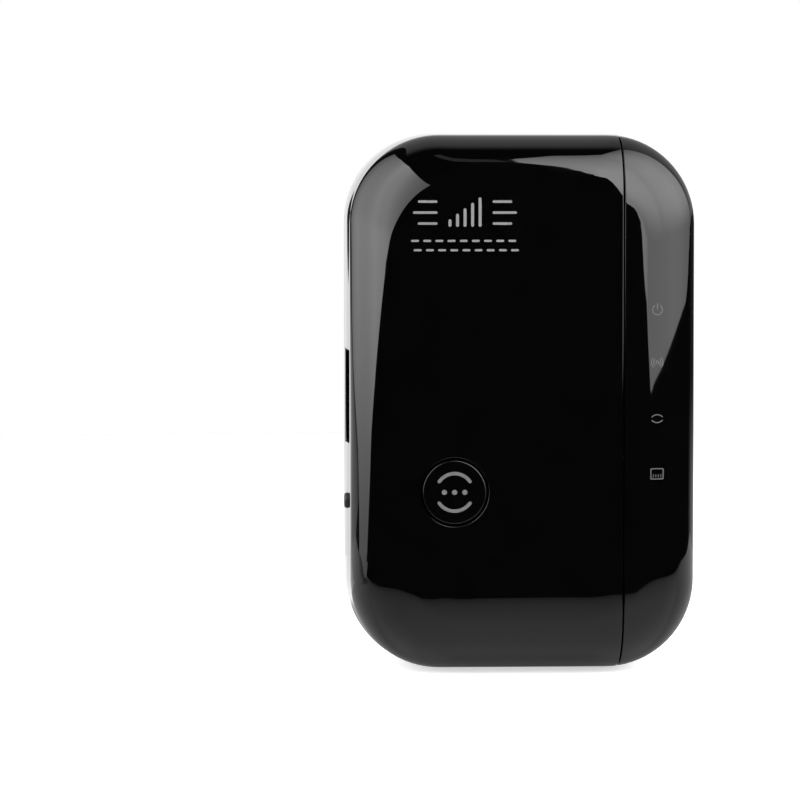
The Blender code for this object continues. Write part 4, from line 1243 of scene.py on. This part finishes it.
def make_world():
    """White where the camera looks. Reflections see a bright backdrop behind the object, grey
    further out from it, and a dark room in front."""
    world = bpy.data.worlds.new("studio")
    bpy.context.scene.world = world
    world.use_nodes = True
    tree = world.node_tree
    tree.nodes.clear()

    def ramp(value, start, end, low, high):
        found = map_range(tree, value, start, end, low, high)
        found.interpolation_type = "SMOOTHSTEP"
        return found.outputs["Result"]

    def math_node(operation, *operands):
        found = fill(tree.nodes.new("ShaderNodeMath"), dict(enumerate(operands)))
        found.operation = operation
        return found.outputs[0]

    toward = tree.nodes.new("ShaderNodeTexCoord").outputs["Generated"]
    x, y, z = fill(tree.nodes.new("ShaderNodeSeparateXYZ"), {"Vector": toward}).outputs
    beside = ramp(math_node("ABSOLUTE", x), 0.52, 0.78, 1, 0)
    grey = math_node("MULTIPLY", beside, ramp(y, 0.24, 0.5, 0, 0.38))
    level = ramp(math_node("ABSOLUTE", z), 0.035, 0.075, 0.92, 0.15)
    dark = math_node("MULTIPLY", ramp(x, 0.05, 0.2, 0, 1), level)
    grey = math_node("MULTIPLY", grey, math_node("SUBTRACT", 1.0, dark))
    white = math_node("MULTIPLY", ramp(y, 0.9, 0.988, 0.004, 0.71), ramp(x, 0.1, 0.25, 1, 0))
    mirrored = math_node("ADD", grey, white)
    seen = tree.nodes.new("ShaderNodeLightPath").outputs["Is Camera Ray"]
    strength = tree.nodes.new("ShaderNodeMix")
    fill(strength, {"Factor": seen, "A": mirrored, "B": 1.0})
    background = tree.nodes.new("ShaderNodeBackground")
    fill(background, {"Color": (1, 1, 1, 1), "Strength": strength.outputs["Result"]})
    fill(tree.nodes.new("ShaderNodeOutputWorld"), {"Surface": background.outputs["Background"]})


def make_left_cards():
    """A tall window-shaped card at the left, with a dim frame round its far end."""
    lower = [
        (-14, 30), (-32, 16), (-42, 8.5), (-49, 3), (-60, 1.3), (-72, 0),
        (-83, -1.5), (-93, -3.1), (-97, -4.7), (-103, -6.4),
    ]
    outer = [
        (-106, -7.5), (-116, -8.3), (-124, -8), (-125, -5), (-128, -3.6),
        (-145, -1.4), (-152, 0), (-157, 4), (-156, 12),
    ]
    upper = [
        (-14, 30), (-20, 35.5), (-27, 41.5), (-36, 47.5), (-46, 52.5), (-60, 57), (-76, 60),
        (-90, 60), (-104, 59), (-116, 57), (-128, 53), (-138, 48.5), (-146, 44),
    ]
    make_card("left_card", lower + outer, upper, left_glow)
    inner = [*outer[3:], (-152, 28), *upper[:-5:-1]]
    rim = [
        (-140, -6.5), (-153, -4), (-166, -1), (-170, 1.5), (-170.5, 4), (-168, 12),
        (-163, 28), (-157, 44), (-148, 52), (-136, 57), (-120, 61),
    ]
    make_card("left_card_frame", rim, inner, frame_glow, 0.601)


def make_right_cards():
    """A large card at the right, and two dark cards before it that shape its inner edge."""
    lower = [
        (9.4, 47), (9.8, 40.5), (16, 36.5), (17, 28), (16, 20), (12.5, 12), (11.5, 8.5),
        (12.6, 4), (13.3, 1.7), (15, 0.35), (18, -0.65), (22, -1.7), (24.5, -2.2), (34, -1.85),
        (46, -1.6), (60, -1.25), (75, -0.85), (94, -0.3), (110, 0.15), (121, 0.4), (130, 1.5), (138, 5),
    ]
    upper = [
        (9.4, 49), (9.8, 55), (10.9, 60), (12, 65), (14, 73), (24, 80.5), (50, 84), (84, 85),
        (105, 82), (120, 78), (130, 70), (135, 64), (131, 52), (130, 34),
    ]
    make_card("right_card", lower, upper, right_glow)
    bay = [(11, 7.5), (12, 8.5), (14, 13), (16, 20), (17.1, 28), (16.3, 35.5), (13, 37.8), (9.7, 40.4)]
    make_card("right_card_bay", bay, [(5, 7.5), (5, 40.4)], even(0.0), 0.599)
    notch = [(13, 2.5), (13.2, 4.5), (13.9, 6.6), (14.8, 8), (14.6, 9), (13.5, 8.8), (12, 8.2)]
    make_card("right_card_notch", notch, [(11, 2.5), (11, 8.2)], even(0.0), 0.599)


def make_stage():
    bpy.context.scene.view_settings.view_transform = "Standard"
    make_camera()
    make_world()
    make_floor()
    make_left_cards()
    make_right_cards()
    lower, upper = [(14, 74), (0, 76), (-45, 80), (-90, 80)], [(20, 80), (5, 84), (-45, 86), (-100, 84)]
    make_card("top_rail", lower, upper, even(0.35))


finish_cad_nodes()
make_front_cover()
make_indicator_panel()
make_back_shell()
make_plug()
make_button()
make_reset_nub()
make_screws()
make_label()
make_face_print()
make_indicator_marks()
make_button_mark()
make_stage()
